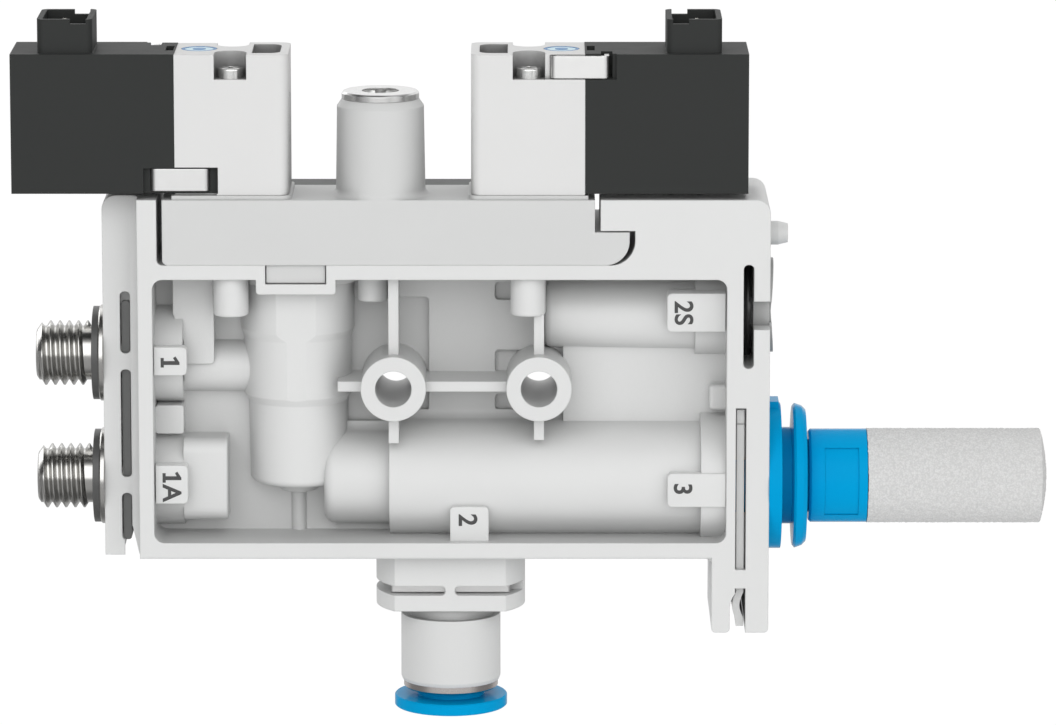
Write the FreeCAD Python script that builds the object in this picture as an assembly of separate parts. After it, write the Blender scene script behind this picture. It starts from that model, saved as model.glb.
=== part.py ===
"""Compact vacuum ejector with two miniature solenoid valves, a flow screw, two threaded air ports,
a push-in vacuum port and a plug-in silencer. Millimetres; X runs along the housing, the front faces
-Y and Z points up. The origin is midway between the two mounting holes, at mid-depth."""
import FreeCAD, Part
import math
import os

V = FreeCAD.Vector
os.makedirs("parts", exist_ok=True)

# Clearances and edges shared by many pieces
running_gap = 0.05
ring_gap = 0.03
small_fillet = 0.3
chamfer = 0.4

# Housing frame, measured from the middle of the mounting holes
housing_depth = 15.5
frame_left = 35.1
frame_right = 32.5
frame_top = 20.5
frame_bottom = 18.6
frame_wall = 1.57
floor_wall = 1.77
end_wall = 4.6
corner_radius = 1.5
low_edge_radius = 0.3
pocket_radius = 1.1
web_thickness = 1.2
web_front = -0.1
web_blend = 1.0
recess_depth = 0.8
recess_radius = 0.45
rib_thickness = 1.1
rib_setback = 1.6

# Mounting holes through the bosses
hole_spacing = 15.6
hole_radius = 1.95
boss_radius = 3.5

# Carrier on top of the housing
carrier_height = 7.05
carrier_left_gap = 0.6
carrier_inset = 2.1
carrier_right = 13.76
tongue_length = 3.7
tongue_height = 3.57
tongue_radius = 2.6
hook_gap = 0.6
tongue_gap = 0.15
snap_centre = -18.17
snap_width = 6.3
snap_depth = 2.6
snap_drop = 1.95
snap_gap = 0.1
snap_frame = 1.1
snap_corner = 0.35

# Dark strip let into the rear edge of the carrier's top
strip_thickness = 1.0
strip_inset = 0.8
strip_sink = 0.12
strip_valve_gap = 0.25

# Left wing with the two threaded ports
wing_width = 3.92
wing_half_depth = 4.4
wing_drop = 0.2
wing_blend = 1.0
wing_skin = 0.35
wing_slit_left = 1.8
wing_slit_right = 0.2
wing_slit_tip = 0.95
wing_slit_top = -15.6
wing_slit_shoulder = -17.1
port_1_height = 2.6
ejector_height = -10.93
spigot_radius = 3.6
spigot_groove_radius = 2.85
spigot_length = 8.27
port_bore_radius = 2.0
thread_radius = 3.5
thread_length = 6.1
thread_tip_radius = 2.56
thread_tip_length = 0.65
thread_relief_radius = 3.1
thread_relief_length = 0.5
washer_thickness = 0.68
washer_radius = 5.05
flange_thickness = 0.6
flange_radius = 5.2
clip_width = 1.12
clip_play = 0.12
supply_clip_offset = 1.84
supply_clip_top = 8.9
supply_clip_floor = -17.2
supply_clip_thickness = 1.0
slot_rows = ((10.06, 3.3), (1.55, -10.25), (-12.0, -17.2))
o_ring_section = 1.0
o_ring_wall = 0.9

# Supply tube, the two drums behind the ports and the blocks beside them
supply_tube_radius = 2.8
supply_tube_height = 1.25
supply_bore_radius = 1.6
drum_radius = 5.25
drum_length = 3.03
drum_block_top = -2.6
drum_block_floor = -5.7
drum_block_half_depth = 3.3
chamber_length = 4.75
chamber_above = 4.8
chamber_below = 4.2
chamber_half_depth = 4.6
chamber_radius = 1.5
left_block_length = 6.36
left_block_inset = 1.97
left_block_low_inset = 3.01
left_block_floor = 1.92
left_block_slant_top = 7.39
left_block_slant_floor = 4.9
left_block_half_depth = 3.1

# Vertical main valve in the pocket
valve_tube_x = -18.23
valve_tube_top_radius = 6.1
valve_tube_middle_radius = 5.81
valve_tube_low_radius = 5.3
valve_tube_end_radius = 5.15
valve_tube_step_1 = 5.1
valve_tube_step_2 = -2.0
valve_tube_floor = -11.4
valve_tube_flat = 5.72
valve_tube_floor_wall = 1.9
valve_tube_rounding = 0.8
valve_collar_radius = 6.85
valve_collar_length = 1.0
piston_bore_radius = 4.2
piston_top = 13.2
piston_height = 7.5
piston_pocket = 3.0
piston_skirt = 1.1
piston_groove = 0.9
piston_groove_width = 1.0
piston_ring_depth = 1.6
main_spring_radius = 2.5
main_spring_wire = 0.5
main_spring_turns = 7
stub_radius = 2.6
stub_end_radius = 1.9
stub_length = 1.0
drain_pin_radius = 0.8

# Pegs (place along X, radius, offset from mid-depth, lower end), ribs and recesses of the web
peg_rows = ((-25.2, 1.88, 5.3, 7.69), (6.63, 1.88, 5.3, 7.74), (-10.05, 1.65, 2.4, 8.8))
left_rib_floor = -6.2
right_rib_floor = -5.85
cross_rib_left = -13.8
recess_rows = (
    (-12.9, -4.1, -3.8, 8.7),
    (-12.9, -8.0, -6.2, -2.8),
    (3.06, 6.0, 8.4, 10.3),
    (3.06, 6.0, 0.4, 2.9),
    (3.06, 6.0, -3.7, -1.9),
)

# Ejector tubes along X
big_tube_radius = 6.4
big_tube_left = -8.33
small_tube_radius = 5.15
small_tube_left = -15.4
small_tube_rounding = 1.2
collar_wall = 0.85
collar_length = 2.7
ejector_bore_radius = 4.6
jet_bore_radius = 3.4
jet_inset = 1.9
receiver_offset = 2.6
nozzle_groove = 0.9
nozzle_flange = 1.0
nozzle_groove_width = 1.2

# Sensor port on the right, with the bare slab and the knob below it
sensor_tube_height = 6.9
sensor_tube_radius = 3.9
sensor_tube_left_radius = 3.6
sensor_tube_left = 8.35
sensor_tube_rounding = 0.8
sensor_collar_radius = 4.4
sensor_collar_length = 3.3
slab_left = 10.4
slab_half_depth = 1.4
slab_top = 4.0
slab_floor = -5.4
knob_left = 26.17
knob_half_depth = 3.2
knob_top = -0.41
knob_floor = -3.16
knob_radius = 0.4
plug_height = 7.87
plug_bore_radius = 2.2
plug_tail_length = 1.6
plug_body_radius = 5.0
plug_window_height = 3.07
plug_disc_radius = 5.1
plug_disc_thickness = 0.55
plug_disc_groove = 0.38
plug_ring_radius = 5.55
plug_ring_section = 0.95
plug_slot_width = 1.12
plug_slot_inset = 1.73
plug_slot_gap = 0.08
key_peg_height = 15.72
key_peg_radius = 1.28
key_peg_length = 2.1

# Silencer side
cartridge_wall = 1.25
cartridge_depth = 6.9
cartridge_floor = 0.8
cartridge_flange_overhang = 0.15
cartridge_flange_thickness = 1.43
cartridge_groove_depth = 0.65
cartridge_groove_wall = 0.61
cartridge_key_width = 3.2
cartridge_key_reach = 0.52
cartridge_key_height = 1.24
silencer_clip_inset = 2.48
silencer_clip_top = -2.08
silencer_clip_lead = 0.3
silencer_clip_skin = 0.7
silencer_clip_bow = 0.43
silencer_clip_bow_top = -22.4
silencer_clip_bow_middle = -23.85
silencer_clip_bow_floor = -25.2
silencer_clip_floor = -26.12
silencer_window_floor = -19.77
silencer_mouth_top = -21.82
silencer_mouth_widening = 0.55
silencer_leg_drop = 8.07
silencer_leg_width = 6.13
leg_corner_radius = 0.45
leg_blend = 0.7
silencer_release_radius = 7.86
silencer_release_end_radius = 7.58
silencer_release_thickness = 1.58
silencer_release_travel = 0.85
silencer_release_gap = 0.3
silencer_grip_depth = 1.24
silencer_stub_wall = 0.8
silencer_seal_section = 1.0
silencer_seal_offset = 1.4
silencer_seal_width = 1.2
silencer_collet_offset = 3.2
collet_length = 0.9
sleeve_radius = 5.07
sleeve_length = 6.3
sleeve_gap = 0.3
sleeve_recess_left = 1.7
sleeve_recess_length = 3.64
sleeve_recess_height = 7.34
sleeve_recess_depth = 0.1
element_radius = 5.17
element_length = 19.6
element_rounding = 0.9
element_wall = 2.5
element_spigot_wall = 1.0
element_spigot = 3.0

# Vacuum port under the housing
vacuum_x = -1.78
vacuum_boss_radius = 8.08
vacuum_boss_flat = 5.4
vacuum_boss_height = 3.49
vacuum_slot_height = 1.03
vacuum_slot_radius = 0.45
vacuum_flange_height = 1.75
vacuum_web = 1.02
vacuum_skin = 1.1
vacuum_channel_inner = 2.0
vacuum_clip_thickness = 0.8
vacuum_clip_reach = 6.45
vacuum_socket_depth = 1.9
vacuum_spigot_radius = 3.9
vacuum_groove_radius = 3.3
vacuum_body_radius = 5.4
vacuum_body_length = 7.4
vacuum_neck_radius = 4.7
vacuum_neck_length = 1.15
vacuum_seal_depth = 1.0
vacuum_seal_land = 1.3
vacuum_collet_height = 3.6
vacuum_ring_radius = 5.12
vacuum_ring_thickness = 0.86
vacuum_ring_wall = 0.55
vacuum_ring_reach = 1.6
vacuum_release_radius = 6.12
vacuum_release_thickness = 1.24
vacuum_release_neck = 3.68
vacuum_release_travel = 0.7
vacuum_release_gap = 0.13
tube_radius = 3.0
tube_fit = 0.06
check_disc_radius = 2.5
check_disc_thickness = 0.8
check_disc_travel = 0.8
check_chamber_radius = 3.4

# Miniature solenoid valve, in its own frame: X from the coil's outer end, Z up from the carrier
valve_width = 10.0
coil_length = 17.4
valve_body_length = 12.14
coil_height = 15.6
coil_lift = 0.63
body_step = 0.05
body_edge_radius = 1.1
pad_height = 0.44
pad_overlap = 0.35
pad_margin = 0.1
pad_end = 0.3
gasket_thickness = 0.5
gasket_half_width = 2.1
gasket_inset = 1.4
valve_port_radius = 0.6
valve_ports = (2.4, 6.0)
valve_last_port_inset = 3.14
valve_front_inset = 0.35
left_valve_overhang = 13.3
right_valve_inset = 2.4
plug_well_x = 2.85
plug_well_length = 5.9
plug_well_width = 8.7
plug_well_height = 3.65
plug_well_wall = 0.6
plug_well_radius = 0.8
plug_well_floor = 0.4
plug_key_inset = 3.53
plug_key_width = 1.7
plug_key_depth = 0.5
pin_pitch = 2.5
pin_thickness = 0.64
pin_inset = 2.6
pin_drop = 0.6
pin_root = 0.9
override_from_joint = 2.5
override_radius = 1.88
override_eye_radius = 0.69
override_rim = 0.3
override_recess = 0.12
override_height = 1.3
override_travel = 0.8
override_stem_radius = 0.6
override_stem_length = 1.6
valve_screw_from_joint = 5.98
valve_screw_offset = 3.3
valve_screw_head_radius = 1.38
valve_screw_head_height = 1.1
valve_screw_radius = 0.85
valve_screw_reach = 4.0
screw_notch_width = 3.44
screw_notch_depth = 2.65
end_pocket_length = 3.0
end_pocket_wall = 0.9
end_pocket_side = 1.5
end_pocket_depth = 3.0
end_pocket_radius = 1.2
mark_radius = 2.58
actuator_height = 8.2
armature_radius = 1.9
armature_travel = 0.4
armature_stop = 5.0
armature_reach = 0.9
armature_pocket_radius = 1.3
armature_pocket_length = 3.0
armature_spring_radius = 1.0
armature_spring_wire = 0.3
armature_spring_turns = 4
seat_nozzle_radius = 0.9
seat_bore_radius = 0.5
seat_chamber_end = 2.9
winding_start = 1.4
winding_end_wall = 2.6
winding_core_wall = 0.4
winding_wall = 0.75
staple_from_joint = 2.54
staple_length = 6.24
staple_height = 2.38
staple_thickness = 0.5
staple_leg_depth = 2.0
staple_low_floor = 0.93
staple_top_drop = 0.2
staple_bend_radius = 0.6
staple_recess_side = 0.78
staple_slot_play = 0.36
staple_slot_depth = 2.5
coil_lug_reach = 4.55
coil_lug_depth = 1.6

# Flow screw on the carrier
flow_x = -9.16
flow_inset = 4.85
flow_tube_radius = 4.8
flow_tube_taper = 0.15
flow_tube_height = 10.35
flow_tube_shoulder = 0.8
flow_tube_foot = 0.7
flow_cap_radius = 4.14
flow_cap_thickness = 0.78
flow_cap_bevel = 0.2
flow_skirt_inset = 1.3
flow_skirt_length = 2.4
flow_bore_radius = 2.0
flow_screw_sink = 0.3
flow_ring_depth = 6.0
flow_ring_groove = 0.75
flow_needle_seat = 4.4
flow_needle_gap = 0.8
flow_slot_width = 1.15
flow_slot_depth = 0.9

# Places worked out from the sizes above
front = -housing_depth / 2
rear = housing_depth / 2
seat = frame_top - carrier_height
pocket_left = -frame_left + frame_wall
pocket_right = frame_right - end_wall
pocket_top = seat - frame_wall
pocket_floor = -frame_bottom + floor_wall
web_rear = web_front + web_thickness
wing_left = -frame_left - wing_width
wing_floor = -frame_bottom - wing_drop
boss_floor = -frame_bottom - vacuum_boss_height
flange_top = boss_floor - vacuum_slot_height
flange_floor = flange_top - vacuum_flange_height
vacuum_socket_top = boss_floor + vacuum_socket_depth
fitting_floor = flange_floor - vacuum_neck_length - vacuum_body_length
supply_clip_left = wing_left + supply_clip_offset
silencer_clip_left = frame_right - silencer_clip_inset - clip_width
leg_left = frame_right - silencer_leg_width
leg_floor = -frame_bottom - silencer_leg_drop
plug_slot_left = frame_right - plug_slot_inset - plug_slot_width
drum_right = pocket_left + drum_length
chamber_right = drum_right + chamber_length
left_block_right = pocket_left + left_block_length
left_block_left = pocket_left + left_block_inset
left_block_low = pocket_left + left_block_low_inset
cartridge_left = frame_right - cartridge_depth
cartridge_radius = rear - cartridge_wall
cartridge_flange_radius = rear + cartridge_flange_overhang
cartridge_groove_radius = cartridge_radius - cartridge_groove_depth
collar_radius = cartridge_radius + collar_wall
silencer_neck_radius = cartridge_groove_radius - cartridge_groove_wall
silencer_stub_radius = silencer_neck_radius - silencer_grip_depth
silencer_seal_radius = silencer_stub_radius + silencer_seal_section
silencer_bore_radius = silencer_stub_radius - silencer_stub_wall
element_bore_radius = silencer_bore_radius - element_spigot_wall
release_face = (
    frame_right + cartridge_flange_thickness + silencer_release_travel + silencer_release_gap
)
silencer_face = release_face + silencer_release_thickness + sleeve_gap
valve_centre_y = front + valve_front_inset + valve_width / 2
left_valve_x = -frame_left - left_valve_overhang
right_valve_x = frame_right - right_valve_inset
valve_length = coil_length + valve_body_length
valve_port_places = (*valve_ports, valve_body_length - valve_last_port_inset)
body_height = coil_height - body_step
override_x = coil_length + override_from_joint
valve_screw_x = coil_length + valve_screw_from_joint
staple_x = coil_length - staple_from_joint
flow_y = front + flow_inset
flow_top = frame_top + flow_tube_height
flow_screw_top = flow_top + flow_cap_thickness - flow_screw_sink


def box(x0, x1, y0, y1, z0, z1):
    return Part.makeBox(x1 - x0, y1 - y0, z1 - z0, V(x0, y0, z0))


def cylinder_x(x0, x1, radius, y=0.0, z=0.0):
    return Part.makeCylinder(radius, x1 - x0, V(x0, y, z), V(1, 0, 0))


def cylinder_y(y0, y1, radius, x=0.0, z=0.0):
    return Part.makeCylinder(radius, y1 - y0, V(x, y0, z), V(0, 1, 0))


def cylinder_z(z0, z1, radius, x=0.0, y=0.0):
    return Part.makeCylinder(radius, z1 - z0, V(x, y, z0), V(0, 0, 1))


def tube_x(x0, x1, outer, inner, y=0.0, z=0.0):
    return cylinder_x(x0, x1, outer, y, z).cut(cylinder_x(x0, x1, inner, y, z))


def tube_z(z0, z1, outer, inner, x=0.0, y=0.0):
    return cylinder_z(z0, z1, outer, x, y).cut(cylinder_z(z0, z1, inner, x, y))


def turned(points, base, axis):
    """Solid of revolution: points are (distance along the axis, radius), closed back to the start."""
    outline = [V(radius, 0, along) for along, radius in points]
    face = Part.Face(Part.makePolygon(outline + outline[:1]))
    solid = face.revolve(V(0, 0, 0), V(0, 0, 1), 360)
    solid.Placement = FreeCAD.Placement(base, FreeCAD.Rotation(V(0, 0, 1), axis))
    return Part.Solid(solid) if solid.ShapeType == "Shell" else solid


def turned_x(points, y=0.0, z=0.0):
    return turned(points, V(0, y, z), V(1, 0, 0))


def turned_z(points, x=0.0, y=0.0):
    return turned(points, V(x, y, 0), V(0, 0, 1))


def o_ring_x(x, inner, outer, y=0.0, z=0.0):
    section = (outer - inner) / 2
    return Part.makeTorus(inner + section, section, V(x, y, z), V(1, 0, 0))


def o_ring_z(z, inner, outer, x=0.0, y=0.0):
    section = (outer - inner) / 2
    return Part.makeTorus(inner + section, section, V(x, y, z), V(0, 0, 1))


def plate(points, y0, y1):
    """Flat outline of (X, Z) points, extruded from y0 to y1."""
    outline = [V(x, y0, z) for x, z in points]
    return Part.Face(Part.makePolygon(outline + outline[:1])).extrude(V(0, y1 - y0, 0))


def outline_plate(stretches, y0, y1):
    """Closed outline in X and Z, extruded from y0 to y1; a stretch of three points is an arc."""
    edges = []
    for stretch in stretches:
        points = [V(x, y0, z) for x, z in stretch]
        if len(points) == 3:
            edges.append(Part.Arc(*points).toShape())
        else:
            edges.append(Part.makeLine(*points))
    return Part.Face(Part.Wire(edges)).extrude(V(0, y1 - y0, 0))


def edges_where(shape, test):
    return [edge for edge in shape.Edges if test(edge)]


def is_along(edge, direction):
    if len(edge.Vertexes) != 2:
        return False
    step = edge.Vertexes[1].Point.sub(edge.Vertexes[0].Point)
    return step.Length > 0 and abs(abs(step.dot(direction)) - step.Length) < 1e-6


def depth_edges_near(shape, x, z):
    """Edges along the depth that pass through the point (x, z)."""
    return edges_where(
        shape,
        lambda edge: is_along(edge, V(0, 1, 0))
        and abs(edge.CenterOfMass.x - x) < 1e-6
        and abs(edge.CenterOfMass.z - z) < 1e-6,
    )


def rims_at(shape, axis, place, least):
    """Round edges that lie at one place along an axis and are longer than a given length."""
    return edges_where(
        shape,
        lambda edge: abs(edge.CenterOfMass.dot(axis) - place) < 1e-6
        and edge.Length > least
        and abs(edge.BoundBox.getPoint(0).sub(edge.BoundBox.getPoint(6)).dot(axis)) < 1e-4,
    )


def rounded_box(x0, x1, y0, y1, z0, z1, radius, along):
    """Box with the four edges along one direction rounded."""
    block = box(x0, x1, y0, y1, z0, z1)
    return block.makeFillet(radius, edges_where(block, lambda edge: is_along(edge, along)))


def mirrored_in_depth(shape):
    return shape.fuse(shape.mirror(V(0, 0, 0), V(0, 1, 0)))


def fused(shapes):
    return shapes[0].fuse(shapes[1:]).removeSplitter()


# Housing
def housing_block():
    frame = box(-frame_left, frame_right, front, rear, -frame_bottom, frame_top)
    frame = frame.makeFillet(corner_radius, depth_edges_near(frame, frame_right, frame_top))
    low_edges = edges_where(
        frame,
        lambda edge: is_along(edge, V(1, 0, 0)) and abs(edge.CenterOfMass.z + frame_bottom) < 1e-6,
    )
    frame = frame.makeFillet(low_edge_radius, low_edges)
    wing = box(wing_left, -frame_left + 1.0, -wing_half_depth, wing_half_depth, wing_floor, frame_top)
    wing = wing.makeFillet(corner_radius, depth_edges_near(wing, wing_left, frame_top))
    return fused([frame, wing, silencer_leg(), wing_blends(), vacuum_boss()])


def silencer_leg():
    """Leg at the right that holds the silencer clip, rounded below and blended into the frame."""
    leg = box(leg_left, frame_right, front, rear, leg_floor, -frame_bottom + floor_wall)
    low_corners = depth_edges_near(leg, leg_left, leg_floor) + depth_edges_near(leg, frame_right, leg_floor)
    leg = leg.makeFillet(leg_corner_radius, low_corners)
    y0, y1 = front + low_edge_radius, rear - low_edge_radius
    corner = box(leg_left - leg_blend, leg_left, y0, y1, -frame_bottom - leg_blend, -frame_bottom)
    hollow = cylinder_y(y0, y1, leg_blend, leg_left - leg_blend, -frame_bottom - leg_blend)
    return leg.fuse(corner.cut(hollow))


def wing_blends():
    """Concave rounding between the narrow wing and the full depth of the frame."""
    x0, y0 = -frame_left - wing_blend, -wing_half_depth - wing_blend
    corner = box(x0, -frame_left, y0, -wing_half_depth, -frame_bottom, frame_top)
    return mirrored_in_depth(corner.cut(cylinder_z(-frame_bottom, frame_top, wing_blend, x0, y0)))


def vacuum_boss():
    """Round boss with two flats; its lower end is the flange below the clip slots."""
    top = -frame_bottom + floor_wall
    boss = cylinder_z(flange_floor, top, vacuum_boss_radius, vacuum_x)
    slab = box(
        vacuum_x - vacuum_boss_radius,
        vacuum_x + vacuum_boss_radius,
        -vacuum_boss_flat,
        vacuum_boss_flat,
        flange_floor,
        top,
    )
    return boss.common(slab)


def pocket_cutter(y0, y1):
    return rounded_box(
        pocket_left, pocket_right, y0, y1, pocket_floor, pocket_top, pocket_radius, V(0, 1, 0)
    )


def snap_frames():
    half = snap_width / 2 + snap_frame
    low = seat - snap_drop - snap_gap - snap_frame
    block = box(snap_centre - half, snap_centre + half, front, front + snap_depth + snap_frame, low, seat)
    corners = depth_edges_near(block, snap_centre - half, low)
    corners += depth_edges_near(block, snap_centre + half, low)
    return mirrored_in_depth(block.makeFillet(snap_corner, corners))


def snap_windows():
    half = snap_width / 2 + snap_gap
    low = seat - snap_drop - snap_gap
    block = box(
        snap_centre - half, snap_centre + half, front, front + snap_depth + snap_gap, low, seat
    )
    return mirrored_in_depth(block)


def carrier_recess():
    """Room above the seat for the carrier, with the undercut for its tongue."""
    left = -frame_left + carrier_inset
    tip = carrier_right + tongue_length + hook_gap
    overhang = seat + tongue_height + tongue_gap
    open_top = box(left, carrier_right + hook_gap, front, rear, seat, frame_top)
    undercut = box(carrier_right, tip, front, rear, seat, overhang)
    return fused(
        [
            open_top.makeFillet(hook_gap, depth_edges_near(open_top, left, seat)),
            undercut.makeFillet(tongue_radius, depth_edges_near(undercut, tip, seat)),
        ]
    )


def pocket_relief():
    """Everything that stands up from the web on both sides: tubes, bosses, ribs and blocks."""
    pieces = []
    # Mounting bosses run through to both faces
    for side in (-1, 1):
        pieces.append(cylinder_y(front, rear, boss_radius, side * hole_spacing / 2))
    pieces += [main_valve_tube(), small_tube(), sensor_tube()]
    pieces.append(cylinder_x(big_tube_left, pocket_right, big_tube_radius, 0, ejector_height))
    pieces.append(
        cylinder_x(pocket_right - collar_length, pocket_right, collar_radius, 0, ejector_height)
    )
    pieces.append(tube_blend(big_tube_left, pocket_right, big_tube_radius, 1))
    for side in (-1, 1):
        start = small_tube_left + small_tube_rounding
        pieces.append(tube_blend(start, big_tube_left, small_tube_radius, side))
    # Supply tube from port 1, and a drum and a block behind each port
    pieces.append(cylinder_x(pocket_left, valve_tube_x, supply_tube_radius, 0, supply_tube_height))
    for height in (port_1_height, ejector_height):
        pieces.append(cylinder_x(pocket_left, drum_right, drum_radius, 0, height))
    pieces.append(
        fill_block(pocket_left, drum_right, drum_block_half_depth, drum_block_floor, drum_block_top)
    )
    pieces += [chamber_block(), left_block()]
    # Slab between the sensor tube and the big tube, with its knob
    pieces.append(fill_block(slab_left, pocket_right, slab_half_depth, slab_floor, slab_top))
    pieces.append(knob())
    pieces += pegs()
    pieces += ribs()
    return fused(pieces).common(pocket_cutter(front, rear))


def tube_blend(x0, x1, radius, side):
    """Concave rounding between an ejector tube and the web, above (1) or below it (-1)."""
    reach = radius + web_blend
    centre_y = web_front - web_blend
    centre_z = ejector_height + side * math.sqrt(reach**2 - centre_y**2)
    touch_y = centre_y * radius / reach
    z0, z1 = sorted((ejector_height, centre_z))
    corner = box(x0, x1, touch_y, 0, z0, z1)
    return corner.cut(cylinder_x(x0, x1, web_blend, centre_y, centre_z))


def sensor_tube():
    """Slightly conical tube of the sensor port, rounded at its left end, with a collar at the wall."""
    length = pocket_right - sensor_tube_left
    base = V(sensor_tube_left, 0, sensor_tube_height)
    tube = Part.makeCone(sensor_tube_left_radius, sensor_tube_radius, length, base, V(1, 0, 0))
    rim = rims_at(tube, V(1, 0, 0), sensor_tube_left, sensor_tube_left_radius)
    tube = tube.makeFillet(sensor_tube_rounding, rim)
    collar_left = pocket_right - sensor_collar_length
    collar = cylinder_x(collar_left, pocket_right, sensor_collar_radius, 0, sensor_tube_height)
    return tube.fuse(collar)


def left_block():
    """Block that hangs from the upper bar beside port 1, with a slanting left side."""
    points = [
        (left_block_left, pocket_top),
        (left_block_left, left_block_slant_top),
        (left_block_low, left_block_slant_floor),
        (left_block_low, left_block_floor),
        (left_block_right, left_block_floor),
        (left_block_right, pocket_top),
    ]
    block = plate(points, -left_block_half_depth, left_block_half_depth)
    return block.makeFillet(recess_radius, depth_edges_near(block, left_block_right, left_block_floor))


def knob():
    block = box(knob_left, pocket_right, -knob_half_depth, knob_half_depth, knob_floor, knob_top)
    return block.makeFillet(
        knob_radius, edges_where(block, lambda edge: edge.CenterOfMass.x < pocket_right - 1e-6)
    )


def fill_block(x0, x1, half_depth, z0, z1):
    return rounded_box(x0, x1, -half_depth, half_depth, z0, z1, small_fillet, V(0, 1, 0))


def chamber_block():
    """Block around the chamber of port 1A, rounded above and below."""
    block = box(
        drum_right,
        chamber_right,
        -chamber_half_depth,
        chamber_half_depth,
        ejector_height - chamber_below,
        ejector_height + chamber_above,
    )
    long_edges = edges_where(block, lambda edge: is_along(edge, V(1, 0, 0)))
    block = block.makeFillet(chamber_radius, long_edges)
    end_edges = edges_where(block, lambda edge: abs(edge.CenterOfMass.x - chamber_right) < 1e-6)
    return block.makeFillet(small_fillet, end_edges)


def main_valve_tube():
    """Stepped tube around the main valve, with a flat on each face, a stub and a drain pin."""
    top, middle = valve_tube_top_radius, valve_tube_middle_radius
    step_1, step_2 = valve_tube_step_1, valve_tube_step_2
    slope = 0.4
    points = [
        (seat, 0),
        (seat, valve_collar_radius),
        (pocket_top - valve_collar_length, valve_collar_radius),
        (pocket_top - valve_collar_length, top),
        (step_1 + slope, top),
        (step_1 - slope, middle),
        (step_2 + slope, middle),
        (step_2 - slope, valve_tube_low_radius),
        (valve_tube_floor, valve_tube_end_radius),
        (valve_tube_floor, 0),
    ]
    tube = turned_z(points, valve_tube_x)
    rim = rims_at(tube, V(0, 0, 1), valve_tube_floor, valve_tube_end_radius)
    tube = tube.makeFillet(valve_tube_rounding, rim)
    flats = box(
        valve_tube_x - valve_collar_radius,
        valve_tube_x + valve_collar_radius,
        -valve_tube_flat,
        valve_tube_flat,
        valve_tube_floor,
        seat,
    )
    stub_floor = valve_tube_floor - stub_length
    stub = Part.makeCone(
        stub_end_radius, stub_radius, stub_length, V(valve_tube_x, 0, stub_floor), V(0, 0, 1)
    )
    pin = cylinder_z(pocket_floor, valve_tube_floor, drain_pin_radius, valve_tube_x)
    return fused([tube.common(flats), stub, pin])


def small_tube():
    tube = cylinder_x(small_tube_left, big_tube_left, small_tube_radius, 0, ejector_height)
    rim = rims_at(tube, V(1, 0, 0), small_tube_left, small_tube_radius)
    return tube.makeFillet(small_tube_rounding, rim)


def pegs():
    """Ejector pegs that hang from the upper bar on both faces."""
    pieces = []
    for x, radius, offset, low in peg_rows:
        peg = cylinder_z(low, pocket_top, radius, x, -offset)
        peg = peg.makeFillet(small_fillet, rims_at(peg, V(0, 0, 1), low, radius))
        pieces.append(mirrored_in_depth(peg))
    return pieces


def ribs():
    """Thin ribs that brace the mounting bosses."""
    half = rib_thickness / 2
    depth = rear - rib_setback
    centre = hole_spacing / 2
    left_rib = box(-centre - half, -centre + half, -depth, depth, left_rib_floor, pocket_top)
    right_rib = box(centre - half, centre + half, -depth, depth, right_rib_floor, pocket_top)
    cross = box(cross_rib_left, centre, -depth, depth, -half, half)
    return [left_rib, right_rib, cross]


def web_recesses():
    """Shallow recesses in the web round the mounting bosses."""
    y0, y1 = web_front - recess_depth, web_front + recess_depth
    return [
        rounded_box(x0, x1, y0, y1, z0, z1, recess_radius, V(0, 1, 0))
        for x0, x1, z0, z1 in recess_rows
    ]


def wing_cutters():
    """Bores of the two ports, the channel of the supply clip and its three windows."""
    cutters = []
    bore_end = wing_left + spigot_length + 0.3
    for height in (port_1_height, ejector_height):
        cutters.append(cylinder_x(wing_left, bore_end, spigot_radius + running_gap, 0, height))
    clip_right = supply_clip_left + clip_width
    inner = spigot_groove_radius + ring_gap
    outer = wing_half_depth - wing_skin
    channel_top = slot_rows[0][0]
    leg = box(supply_clip_left, clip_right, -outer, -inner, wing_floor, channel_top)
    cutters.append(mirrored_in_depth(leg))
    bridge_top = supply_clip_floor + supply_clip_thickness + clip_play
    cutters.append(box(supply_clip_left, clip_right, -outer, outer, wing_floor, bridge_top))
    for high, low in slot_rows:
        window = rounded_box(
            supply_clip_left,
            clip_right,
            -wing_half_depth,
            -wing_half_depth + wing_skin,
            low,
            high,
            clip_width * 0.45,
            V(0, 1, 0),
        )
        cutters.append(mirrored_in_depth(window))
    # Slit that frees the lower end of the wing
    slit = plate(
        [
            (-frame_left - wing_slit_tip, wing_slit_top),
            (-frame_left - wing_slit_right, wing_floor),
            (-frame_left - wing_slit_left, wing_floor),
            (-frame_left - wing_slit_left, wing_slit_shoulder),
        ],
        front,
        rear,
    )
    cutters.append(slit)
    return cutters


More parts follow.
